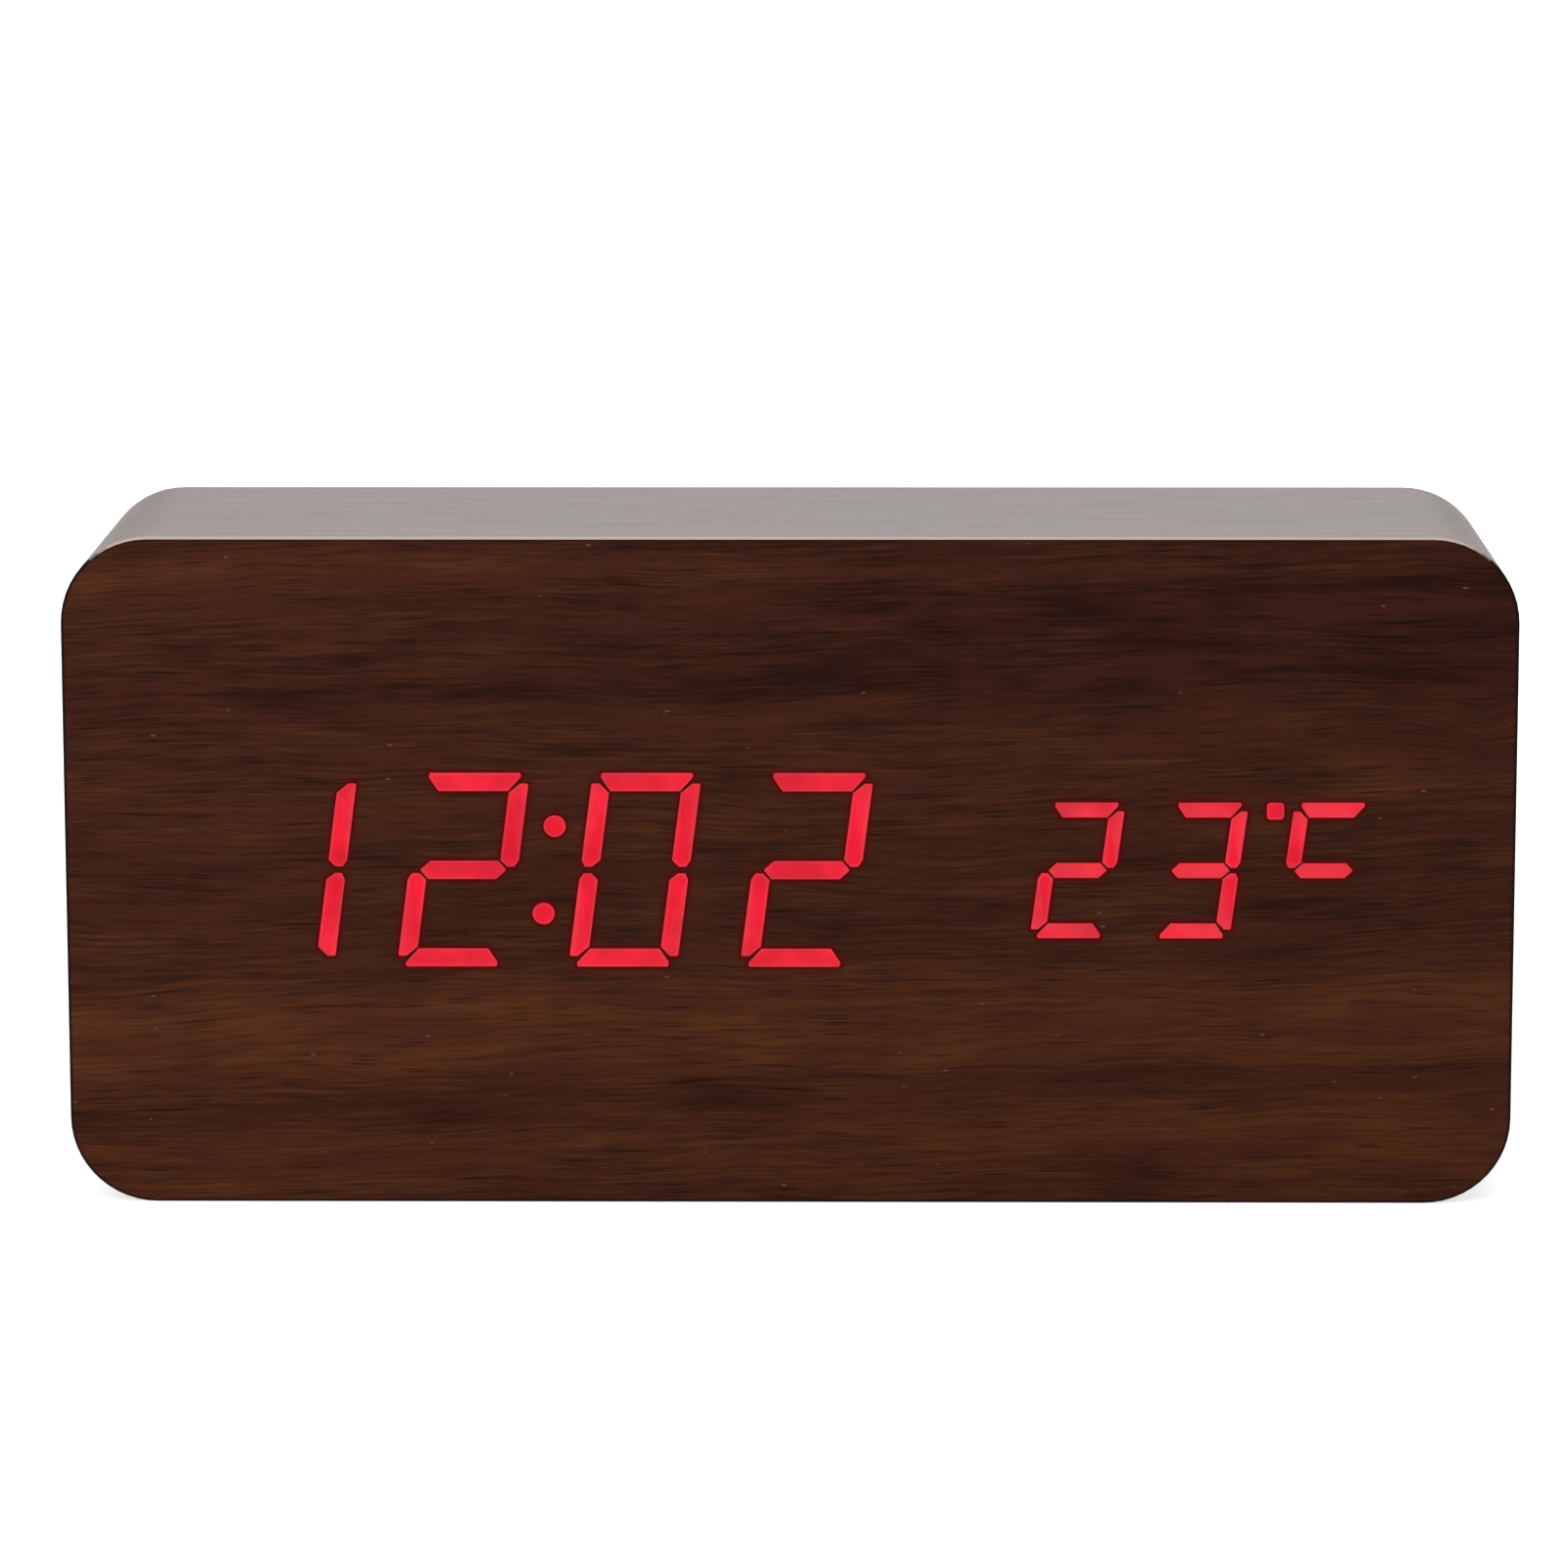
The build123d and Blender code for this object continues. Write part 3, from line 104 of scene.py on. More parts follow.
class Tree:
    """A node tree, with a short call for each kind of node that the materials use."""

    def __init__(self, tree):
        self.tree = tree

    def node(self, kind, **settings):
        made = self.tree.nodes.new(kind)
        for key, value in settings.items():
            setattr(made, key, value)
        return made

    def feed(self, socket, value):
        """Links an output to the socket, or sets its own value."""
        if isinstance(value, bpy.types.NodeSocket):
            self.tree.links.new(value, socket)
        elif value is not None:
            socket.default_value = value

    def place(self, stretch=(1, 1, 1)):
        """The point in the object's own frame, in millimetres, scaled along each axis."""
        coordinates = self.node("ShaderNodeTexCoord")
        mapping = self.node("ShaderNodeMapping")
        self.feed(mapping.inputs["Vector"], coordinates.outputs["Object"])
        mapping.inputs["Scale"].default_value = [s / MM for s in stretch]
        return mapping.outputs["Vector"]

    def separate(self, vector):
        split = self.node("ShaderNodeSeparateXYZ")
        self.feed(split.inputs[0], vector)
        return split.outputs

    def combine(self, x, y, z):
        joined = self.node("ShaderNodeCombineXYZ")
        for socket, value in zip(joined.inputs, (x, y, z)):
            self.feed(socket, value)
        return joined.outputs[0]

    def math(self, operation, a, b=None, c=None):
        made = self.node("ShaderNodeMath", operation=operation)
        for socket, value in zip(made.inputs, (a, b, c)):
            self.feed(socket, value)
        return made.outputs[0]

    def minus(self, a, b):
        return self.math("SUBTRACT", a, b)

    def times(self, a, b):
        return self.math("MULTIPLY", a, b)

    def times_plus(self, a, b, c):
        return self.math("MULTIPLY_ADD", a, b, c)

    def waver(self, base, noise, strength):
        """The base, pushed up and down by a noise whose middle is 0.5."""
        return self.times_plus(self.minus(noise, 0.5), strength, base)

    def noise(self, vector, scale=1.0, detail=3.0, roughness=0.55):
        made = self.node("ShaderNodeTexNoise")
        self.feed(made.inputs["Vector"], vector)
        self.feed(made.inputs["Scale"], scale)
        self.feed(made.inputs["Detail"], detail)
        self.feed(made.inputs["Roughness"], roughness)
        return made.outputs["Fac"]

    def cells(self, vector, scale=1.0, feature="F1", randomness=1.0):
        made = self.node("ShaderNodeTexVoronoi", feature=feature)
        self.feed(made.inputs["Vector"], vector)
        self.feed(made.inputs["Scale"], scale)
        self.feed(made.inputs["Randomness"], randomness)
        return made.outputs

    def ramp(self, value, stops, interpolation="LINEAR"):
        """A colour ramp. Its stops are (place, colour), where a bare number is a grey."""
        made = self.node("ShaderNodeValToRGB")
        made.color_ramp.interpolation = interpolation
        elements = made.color_ramp.elements
        while len(elements) < len(stops):
            elements.new(0.5)
        for element, (place, colour) in zip(elements, stops):
            element.position = place
            element.color = (*colour, 1) if isinstance(colour, tuple) else (colour, colour, colour, 1)
        self.feed(made.inputs["Fac"], value)
        return made.outputs["Color"]

    def curve(self, value, stops):
        """A number that follows the stops (place, number)."""
        return self.separate(self.ramp(value, stops))[0]

    def band(self, value, low, high, to_low=0.0, to_high=1.0):
        """Maps low to high onto to_low to to_high, and holds it outside."""
        made = self.node("ShaderNodeMapRange")
        for key, number in (("From Min", low), ("From Max", high), ("To Min", to_low), ("To Max", to_high)):
            self.feed(made.inputs[key], number)
        self.feed(made.inputs["Value"], value)
        return made.outputs["Result"]

    def mix(self, factor, a, b, blend="MIX"):
        made = self.node("ShaderNodeMix", data_type="RGBA", blend_type=blend)
        colours = [s for s in made.inputs if s.type == "RGBA"]
        self.feed(made.inputs[0], factor)
        self.feed(colours[0], (*a, 1) if isinstance(a, tuple) else a)
        self.feed(colours[1], (*b, 1) if isinstance(b, tuple) else b)
        return next(s for s in made.outputs if s.type == "RGBA")

    def dim(self, colour, level):
        """The colour times a number."""
        return self.mix(1.0, colour, self.combine(level, level, level), "MULTIPLY")

    def bump(self, height, distance, strength):
        """A bump whose height runs from 0 to 1 over that distance, in millimetres."""
        made = self.node("ShaderNodeBump")
        self.feed(made.inputs["Height"], height)
        self.feed(made.inputs["Distance"], distance * MM)
        self.feed(made.inputs["Strength"], strength)
        return made.outputs["Normal"]

    def attribute(self, name):
        return self.node("ShaderNodeAttribute", attribute_name=name).outputs["Fac"]


class Finish(Tree):
    """A material under its own name, with its principled shader at hand."""

    def __init__(self, name, **constants):
        self.material = bpy.data.materials.new(name)
        self.material.use_nodes = True
        super().__init__(self.material.node_tree)
        self.shader = self.tree.nodes["Principled BSDF"]
        for key, value in constants.items():
            self.set(key.replace("_", " ").title().replace("Ior", "IOR"), value)

    def set(self, socket, value):
        if isinstance(value, tuple) and len(value) == 3:
            value = (*value, 1)
        self.feed(self.shader.inputs[socket], value)

    def set_rough(self, noise, least, most):
        """Roughness that follows the middle of a noise."""
        self.set("Roughness", self.band(noise, *NOISE_MIDDLE, least, most))


def dress(material, *names):
    """Gives CAD nodes their material."""
    for name in names:
        slots = nodes[name].data.materials
        slots.clear()
        slots.append(material)


# Walnut veneer

CASE_WIDTH = 2 * cad_box[1][0] / MM
CASE_HEIGHT = cad_box[1][2] / MM
CORNER_RADIUS = 9.0
WRAP_SHIFT = 34
WOOD_DARK = (0.0185, 0.0048, 0.0030)
WOOD_MAIN = (0.0425, 0.0125, 0.0062)
WOOD_WARM = (0.0880, 0.0270, 0.0092)
WOOD_RED = (0.0540, 0.0134, 0.0080)
WOOD_STOPS = [(0.05, WOOD_DARK), (0.45, WOOD_MAIN), (0.95, WOOD_WARM)]
WOOD_SPREAD = 0.2
# Painted light and shade: the wood's colour is scaled lighter at the left and darker at the right, as from a
# key light on the left
PAINTED_LIGHT_LEFT_TO_RIGHT = (1.10, 0.93)
PORE_COLOUR = (0.0070, 0.0018, 0.0014)
FLECK_COLOUR = (0.165, 0.090, 0.060)
GRAIN_TILT = -0.018

# How far each of these covers the wood
RUDDY_SHARE = 0.6
PORE_SHARE = 0.75
FLECK_SHARE = 0.5
BORDER_SHARE = 0.85
EDGE_SHARE = 0.9

# The film's cut edge. Its dark border on the front fades out over BORDER, in millimetres from the outline.
# The normal of its own faces has a y under EDGE_Y, and where a pale highlight is painted on them, a z that
# passes through the last span below.
EDGE_COLOUR = (0.005, 0.0025, 0.0018)
# The colour of the painted highlight on the edge where it faces up
HIGHLIGHT_EDGE_COLOUR = (0.56, 0.46, 0.41)
BORDER = (0.22, 0.42)
EDGE_Y = 0.95
HIGHLIGHT_Z = (0.50, 0.66)

# Noises of the grain: steps along and across it for each millimetre, detail, roughness and seed
SLOW = (0.011, 0.035, 1, 0.55, 0)
WAVES = (0.05, 0.11, 1, 0.55, 5)
CLOUDS = (0.045, 0.22, 3, 0.6, 9)
LINES = (0.075, 1.25, 4, 0.62, 2)
FINE = (0.26, 4.8, 3, 0.6, 7)
THREADS = (0.07, 3.0, 2, 0.5, 3)
RUDDY = (0.06, 0.30, 2, 0.55, 13)
RUDDY_SPAN = (0.46, 0.64)

# How far the first two bend the grain, in millimetres, and how much the others add to its tone
SLOW_HEIGHT = 5.0
WAVES_HEIGHT = 1.7
TONES = {"clouds": (CLOUDS, 0.85), "lines": (LINES, 0.95), "fine": (FINE, 0.85), "threads": (THREADS, 0.75)}

# Knots on the front: centre, reach and how far they push the grain aside
KNOTS = (((71, 50.5), (4.5, 2.2), 1.7), ((-44, 52), (10, 5), 0.7))

# Broad bands up the front: 0 is the darkest, about 0.5 the main tone and 1 the warmest
BANDS = [
    (0.00, 0.53), (0.10, 0.66), (0.145, 0.44), (0.185, 0.46), (0.22, 0.75), (0.30, 0.77), (0.37, 0.46),
    (0.50, 0.38), (0.60, 0.50), (0.70, 0.44), (0.755, 0.42), (0.785, 0.18), (0.82, 0.42),
    (0.90, 0.40), (0.94, 0.72), (0.975, 0.62), (1.00, 0.34),
]

# Painted shade, where the front is darker than its bands at its upper right, and painted light, where it is
# lighter at its lower right
PAINTED_SHADE_ALONG, PAINTED_SHADE_HEIGHT, PAINTED_SHADE = (-60, 60), (50, 62), -0.36
PAINTED_LIGHT_ALONG, PAINTED_LIGHT_OVER, PAINTED_LIGHT_UNDER, PAINTED_LIGHT = (0, 40), (3, 6), (8, 12), 0.2

# Pores and flecks: length, width, reach and seed
SHORT_PORES = (5.5, 0.28, 0.42, 1)
LONG_PORES = (16.0, 0.7, 0.28, 4)
FLECKS = (4.1, 1.5, 0.13, 21)
DASH_CORE = 0.35
FAINTEST_DASH = 0.45
FAINTEST_FLECK = 0.55
PORE_DEPTH = 0.8

# Relief of each surface: height in millimetres and strength
WOOD_RELIEF = (0.03, 0.5)
METAL_RELIEF = (0.004, 0.5)
FIBRE_RELIEF = (0.06, 0.7)
TRACK_RELIEF = (0.03, 0.6)
RIBBON_RELIEF = (0.2, 0.8)
MOULD_STRENGTH = 0.6

# The numerals' glow in the film, by the share of its reach
GLOW_REACH = 0.9
GLOW_COLOUR = (0.078, 0.0008, 0.0008)
GLOW_STOPS = [(0.0, 0.97), (0.20, 0.90), (0.42, 0.35), (0.65, 0.12), (1.0, 0.0)]


def grain_noise(finish, along, across, seed, layer):
    """A noise drawn out along the grain."""
    per_along, per_across, detail, roughness, layer_seed = layer
    x, y = finish.times(along, per_along), finish.times(across, per_across)
    return finish.noise(finish.combine(x, y, seed + layer_seed), 1, detail, roughness)


def dashes(finish, along, height, seed, kind):
    """Short dashes along the grain, each in its own strength."""
    length, width, reach, kind_seed = kind
    x, y = finish.math("DIVIDE", along, length), finish.math("DIVIDE", height, width)
    spots = finish.cells(finish.combine(x, y, seed + kind_seed))
    inside = finish.band(spots["Distance"], reach * DASH_CORE, reach, 1, 0)
    strength = finish.separate(spots["Color"])[0]
    return finish.times(inside, finish.band(strength, FAINTEST_DASH, 1.0))


def square_sum(finish, a, b):
    """a squared plus b squared."""
    return finish.times_plus(a, a, finish.times(b, b))


def knot_push(finish, x, z, centre, reach, size):
    """How far the grain is pushed aside around one knot, in millimetres."""
    sideways = finish.math("DIVIDE", finish.minus(x, centre[0]), reach[0])
    upward = finish.math("DIVIDE", finish.minus(z, centre[1]), reach[1])
    fall = finish.times(square_sum(finish, sideways, upward), -1)
    return finish.times(finish.math("EXPONENT", fall), size)


def from_outline(finish, x, z):
    """How far inside the front's rounded outline a point is, in millimetres, up to the corners' radius."""
    sideways = finish.minus(finish.math("ABSOLUTE", x), CASE_WIDTH / 2 - CORNER_RADIUS)
    upward = finish.math("ABSOLUTE", finish.minus(z, CASE_HEIGHT / 2))
    upward = finish.minus(upward, CASE_HEIGHT / 2 - CORNER_RADIUS)
    sideways = finish.math("MAXIMUM", sideways, 0)
    upward = finish.math("MAXIMUM", upward, 0)
    return finish.minus(CORNER_RADIUS, finish.math("SQRT", square_sum(finish, sideways, upward)))


def front_painted_light_and_shade(finish, along, height, bands):
    """The bands, with painted shade at the front's upper right and painted light at its lower right."""
    darker = finish.times(finish.band(along, *PAINTED_SHADE_ALONG), finish.band(height, *PAINTED_SHADE_HEIGHT))
    bands = finish.times_plus(darker, PAINTED_SHADE, bands)
    lighter = finish.times(finish.band(along, *PAINTED_LIGHT_ALONG), finish.band(height, *PAINTED_LIGHT_UNDER, 1, 0))
    lighter = finish.times(lighter, finish.band(height, *PAINTED_LIGHT_OVER))
    return finish.times_plus(lighter, PAINTED_LIGHT, bands)


def cut_edges(finish, x, z, colour):
    """The film's cut edge and a thin border along its outline are darker, and a pale highlight is painted on
    the edge where it faces up.
    """
    normal = finish.separate(finish.node("ShaderNodeNewGeometry").outputs["True Normal"])
    on_edge = finish.math("LESS_THAN", finish.math("ABSOLUTE", normal[1]), EDGE_Y)
    # A pale highlight is painted where the edge faces up
    wear_and_highlight = finish.times(on_edge, finish.band(normal[2], *HIGHLIGHT_Z))
    border = finish.band(from_outline(finish, x, z), *BORDER, BORDER_SHARE, 0)
    colour = finish.mix(border, colour, EDGE_COLOUR)
    colour = finish.mix(finish.times(on_edge, EDGE_SHARE), colour, EDGE_COLOUR)
    return finish.mix(finish.times(wear_and_highlight, EDGE_SHARE), colour, HIGHLIGHT_EDGE_COLOUR)


def walnut(name, wrapped, shine, roughness, seed, glow=False):
    """Dark walnut whose grain runs along the front, or round the case when it is wrapped."""
    finish = Finish(name, specular_ior_level=shine)
    x, y, z = finish.separate(finish.place())
    if wrapped:
        along = finish.times_plus(finish.math("SIGN", x), finish.minus(CASE_HEIGHT, z), x)
        across = finish.math("ADD", y, WRAP_SHIFT)
    else:
        along, across = x, z
    height = finish.times_plus(along, GRAIN_TILT, across)
    height = finish.waver(height, grain_noise(finish, along, across, seed, SLOW), SLOW_HEIGHT)
    height = finish.waver(height, grain_noise(finish, along, across, seed, WAVES), WAVES_HEIGHT)
    if not wrapped:
        for centre, reach, size in KNOTS:
            height = finish.math("ADD", height, knot_push(finish, x, z, centre, reach, size))

    tone = finish.curve(finish.band(height, 0, CASE_HEIGHT), BANDS)
    # painted shade at the front's upper right and painted light at its lower right
    if not wrapped:
        tone = front_painted_light_and_shade(finish, along, height, tone)
    noises = {}
    for key, (layer, strength) in TONES.items():
        noises[key] = grain_noise(finish, along, height, seed, layer)
        tone = finish.waver(tone, noises[key], strength)
    colour = finish.ramp(tone, WOOD_STOPS)
    ruddy = grain_noise(finish, along, height, seed, RUDDY)
    colour = finish.mix(finish.band(ruddy, *RUDDY_SPAN, 0, RUDDY_SHARE), colour, WOOD_RED)
    # painted light and shade: lighter at the left, darker at the right
    colour = finish.dim(colour, finish.band(along, -CASE_WIDTH / 2, CASE_WIDTH / 2, *PAINTED_LIGHT_LEFT_TO_RIGHT))

    short = dashes(finish, along, height, seed, SHORT_PORES)
    long = dashes(finish, along, height, seed, LONG_PORES)
    pore = finish.math("MAXIMUM", short, long)
    colour = finish.mix(finish.times(pore, PORE_SHARE), colour, PORE_COLOUR)
    fleck = finish.math("GREATER_THAN", dashes(finish, along, height, seed, FLECKS), FAINTEST_FLECK)
    colour = finish.mix(finish.times(fleck, FLECK_SHARE), colour, FLECK_COLOUR)
    if not wrapped:
        colour = cut_edges(finish, x, z, colour)
    if glow:
        share = finish.math("DIVIDE", finish.attribute("away"), GLOW_REACH)
        colour = finish.mix(finish.curve(share, GLOW_STOPS), colour, GLOW_COLOUR)
    finish.set("Base Color", colour)
    finish.set_rough(noises["lines"], roughness * (1 - WOOD_SPREAD), roughness * (1 + WOOD_SPREAD))
    relief = finish.times_plus(pore, -PORE_DEPTH, noises["fine"])
    finish.set("Normal", finish.bump(relief, *WOOD_RELIEF))
    return finish.material


# The other materials

# The lit film, by the share of its rim's reach, and its unevenness: the noise, its span and its levels
LIT_REACH = 0.5
LIT_STOPS = [
    (0.00, (0.36, 0.004, 0.008)),
    (0.14, (0.75, 0.048, 0.072)),
    (0.30, (0.83, 0.036, 0.060)),
    (0.58, (0.87, 0.012, 0.036)),
]
LIT_CLOUDS = (0.22, 2)
LIT_SPAN = (0.35, 0.65)
LIT_LEVELS = (0.80, 1.06)

# Noises of moulded plastic: scale and detail, or detail and roughness for its sparks. Its colour follows them
# over MOULD_SPAN, and its roughness varies by MOULD_SPREAD of itself.
MOULD_CLOUDS = (0.12, 3)
MOULD_SCUFFS = (0.6, 4)
MOULD_SPARKS = (2, 0.6)
MOULD_SPAN = (0.35, 0.65)
MOULD_SPREAD = 0.12


def lit_film():
    """Film lit from behind: a dim rim, a paler line inside it, and an even red that varies a little."""
    finish = Finish("lit_film", base_color=(0.02, 0.002, 0.002), roughness=0.4, specular_ior_level=0.03)
    colour = finish.ramp(finish.math("DIVIDE", finish.attribute("away"), LIT_REACH), LIT_STOPS)
    level = finish.band(finish.noise(finish.place(), *LIT_CLOUDS), *LIT_SPAN, *LIT_LEVELS)
    finish.set("Emission Color", finish.dim(colour, level))
    finish.set("Emission Strength", 1.0)
    return finish.material


def moulded(name, colour, roughness, grain=0.25, depth=0.01, variation=0.12, speckle=0.0, **constants):
    """The finish of moulded plastic, spark-eroded or polished, whose grain is a size in millimetres."""
    finish = Finish(name, **constants)
    place = finish.place()
    sparks = finish.noise(place, 1 / grain, *MOULD_SPARKS)
    uneven = finish.waver(finish.noise(place, *MOULD_CLOUDS), sparks, speckle)
    darker = tuple(c * (1 - variation) for c in colour)
    lighter = tuple(min(1, c * (1 + variation)) for c in colour)
    low, high = MOULD_SPAN
    finish.set("Base Color", finish.ramp(uneven, [(low, darker), (high, lighter)]))
    most = min(1, roughness * (1 + MOULD_SPREAD))
    finish.set_rough(finish.noise(place, *MOULD_SCUFFS), roughness * (1 - MOULD_SPREAD), most)
    finish.set("Normal", finish.bump(sparks, depth, MOULD_STRENGTH))
    return finish


PANEL = {
    "colour": (0.014, 0.014, 0.015), "roughness": 0.5, "grain": 0.4, "depth": 0.16, "variation": 0.5,
    "speckle": 1.2, "specular_ior_level": 0.28,
}
MARK_PAINT = (0.55, 0.55, 0.54)
MARK_NOISE = (3, 3)
MARK_WEAR = (0.28, 0.42)
PANEL_FACE_Y = 17.5
MARK_TOP = 0.12


def marked_panel():
    """The black panel, with white paint on the tops of the raised marks over its buttons."""
    finish = moulded("marked_panel", **PANEL)
    plain = finish.shader.inputs["Base Color"].links[0].from_socket
    place = finish.place()
    x, y, z = finish.separate(place)
    raised = finish.math("GREATER_THAN", y, PANEL_FACE_Y + MARK_TOP)
    high = finish.math("GREATER_THAN", z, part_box("up_button")[1].z / MM)
    wear_and_highlight = finish.band(finish.noise(place, *MARK_NOISE), *MARK_WEAR)
    paint = finish.times(finish.times(raised, high), wear_and_highlight)
    finish.set("Base Color", finish.mix(paint, plain, MARK_PAINT))
    return finish.material


METAL_STRETCH = (0.3, 6, 6)
METAL_CLOUDS = (0.4, 3)
METAL_SHADE = 0.85
METAL_ROUGH = (0.8, 1.25)


def metal(name, colour, roughness):
    """Plain metal with fine drawn lines along x."""
    finish = Finish(name, metallic=1.0)
    lines = finish.noise(finish.place(METAL_STRETCH))
    clouds = finish.noise(finish.place(), *METAL_CLOUDS)
    low, high = NOISE_MIDDLE
    shade = tuple(METAL_SHADE * c for c in colour)
    finish.set("Base Color", finish.ramp(clouds, [(low, shade), (high, colour)]))
    least, most = METAL_ROUGH
    finish.set_rough(lines, roughness * least, roughness * most)
    finish.set("Normal", finish.bump(lines, *METAL_RELIEF))
    return finish.material


FIBRE_STRETCH = (1.4, 6, 1.4)
FIBRE_NOISE = (1, 4, 0.7)
FIBRE_STOPS = [(0.3, (0.27, 0.165, 0.085)), (0.55, (0.42, 0.29, 0.17)), (0.75, (0.52, 0.38, 0.24))]
SPECK_COLOUR = (0.12, 0.06, 0.03)
SPECK_SCALE = 2.2
SPECK_REACH = (0.02, 0.12)
SPECK_SHARE = 0.5
WEAVE_STRETCH = (2.5, 2.5, 0.4)
WEAVE_NOISE = (1, 2)
BOARD_STOPS = [(0.3, (0.012, 0.085, 0.035)), (0.7, (0.02, 0.13, 0.055))]
TRACK_COLOUR = (0.05, 0.26, 0.09)
TRACK_CELLS = (0.35, "DISTANCE_TO_EDGE", 0.7)
TRACK_EDGE = (0.03, 0.05)
RIBBON_STOPS = [(0.0, (0.16, 0.165, 0.18)), (0.5, (0.36, 0.37, 0.39))]
RIBBON_PITCH = 1.0


def fibreboard():
    """Pressed wood fibres with a few dark specks."""
    finish = Finish("fibreboard", roughness=0.85, specular_ior_level=0.25)
    fibres = finish.noise(finish.place(FIBRE_STRETCH), *FIBRE_NOISE)
    from_speck = finish.cells(finish.place(), SPECK_SCALE)["Distance"]
    specks = finish.band(from_speck, *SPECK_REACH, SPECK_SHARE, 0.0)
    finish.set("Base Color", finish.mix(specks, finish.ramp(fibres, FIBRE_STOPS), SPECK_COLOUR))
    finish.set("Normal", finish.bump(fibres, *FIBRE_RELIEF))
    return finish.material


def circuit_board():
    """Green lacquer over woven glass, with raised tracks."""
    finish = Finish("circuit_board", roughness=0.35)
    weave = finish.noise(finish.place(WEAVE_STRETCH), *WEAVE_NOISE)
    from_track = finish.cells(finish.place(), *TRACK_CELLS)["Distance"]
    tracks = finish.band(from_track, *TRACK_EDGE, 1.0, 0.0)
    finish.set("Base Color", finish.mix(tracks, finish.ramp(weave, BOARD_STOPS), TRACK_COLOUR))
    finish.set("Normal", finish.bump(tracks, *TRACK_RELIEF))
    return finish.material


def ribbon():
    """A grey ribbon cable, ridged along its wires."""
    finish = Finish("ribbon", roughness=0.5)
    x = finish.separate(finish.place())[0]
    ridges = finish.math("ABSOLUTE", finish.math("SINE", finish.times(x, math.pi / RIBBON_PITCH)))
    finish.set("Base Color", finish.ramp(ridges, RIBBON_STOPS))
    finish.set("Normal", finish.bump(ridges, *RIBBON_RELIEF))
    return finish.material


# A cell's jacket, by the share of its length from the nub
JACKET_STOPS = [
    (0.0, (0.62, 0.62, 0.6)),
    (0.045, (0.55, 0.56, 0.58)),
    (0.23, (0.08, 0.16, 0.3)),
    (0.25, (0.7, 0.7, 0.7)),
    (0.27, (0.04, 0.09, 0.2)),
    (0.97, (0.6, 0.6, 0.58)),
]
BARE_SHARE = 0.045
CELL_END = (0.66, 0.65, 0.62)
CELL_END_X = 0.6
CELL_STRETCH = (0.4, 2, 2)
CELL_NOISE = (1, 4)
CELL_ROUGH = (0.25, 0.42)


def cell_jacket(node, nub_side):
    """A cell's printed jacket, with a pale band by its nub, and bare metal at both ends."""
    low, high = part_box(node)
    finish = Finish(f"cell_jacket_{node[-1]}", roughness=0.35)
    x = finish.separate(finish.place())[0]
    nub_x = (high if nub_side > 0 else low).x / MM
    from_nub = finish.math("ABSOLUTE", finish.minus(x, nub_x))
    share = finish.math("DIVIDE", from_nub, (high - low).x / MM)
    jacket = finish.ramp(share, JACKET_STOPS, "CONSTANT")
    normal = finish.separate(finish.node("ShaderNodeNewGeometry").outputs["Normal"])
    end = finish.math("GREATER_THAN", finish.math("ABSOLUTE", normal[0]), CELL_END_X)
    finish.set("Base Color", finish.mix(end, jacket, CELL_END))
    finish.set("Metallic", finish.math("MAXIMUM", end, finish.math("LESS_THAN", share, BARE_SHARE)))
    finish.set_rough(finish.noise(finish.place(CELL_STRETCH), *CELL_NOISE), *CELL_ROUGH)
    return finish.material


# Material, colour, roughness and the nodes that have it
PLASTICS = (
    ("mask_film", (0.01, 0.01, 0.01), 0.7, ("light_mask",)),
    ("diffuser_film", (0.75, 0.75, 0.75), 0.6, ("diffuser_sheet",)),
    ("white_plastic", (0.8, 0.8, 0.8), 0.45, ("time_reflector", "temperature_reflector")),
    ("lamp", (0.75, 0.12, 0.1), 0.15, ("time_lamps", "temperature_lamps")),
    ("nylon", (0.75, 0.73, 0.68), 0.5, ("board_spacers",)),
    ("chip_plastic", (0.02, 0.02, 0.022), 0.55, ("microcontroller", "display_drivers")),
    ("connector_plastic", (0.72, 0.7, 0.62), 0.5, ("display_header", "control_header", "ribbon_plugs")),
    ("resistor_ceramic", (0.03, 0.03, 0.035), 0.3, ("resistors",)),
    ("switch_plastic", (0.02, 0.02, 0.02), 0.45,
     ("coin_cell_holder", "buzzer", "set_switch", "up_switch", "down_switch", "dc_jack")),
    ("plunger_plastic", (0.7, 0.7, 0.7), 0.5, ("set_plunger", "up_plunger", "down_plunger")),
    ("bead_resin", (0.03, 0.02, 0.015), 0.25, ("temperature_bead",)),
    ("red_wire", (0.5, 0.02, 0.02), 0.5, ("red_battery_wire", "red_jack_wire")),
    ("black_wire", (0.015, 0.015, 0.015), 0.5, ("black_battery_wire", "black_jack_wire")),
)
METALS = (
    ("screw_steel", (0.36, 0.36, 0.38), 0.34,
     ("display_board_screws", "control_board_screws", "rear_panel_screws")),
    ("can_metal", (0.7, 0.7, 0.71), 0.3, ("crystal", "capacitor", "microphone")),
    ("contact_metal", (0.62, 0.61, 0.58), 0.25,
     ("coin_cell", "coin_cell_clip", "dc_jack_contacts", "battery_contact_plates", "battery_leaf_springs")),
)
BUTTON = {
    "colour": (0.012, 0.012, 0.013), "roughness": 0.24, "grain": 2, "depth": 0.01, "specular_ior_level": 0.4,
}
NUB_SIDES = {"battery_cell_1": 1, "battery_cell_2": -1, "battery_cell_3": 1}


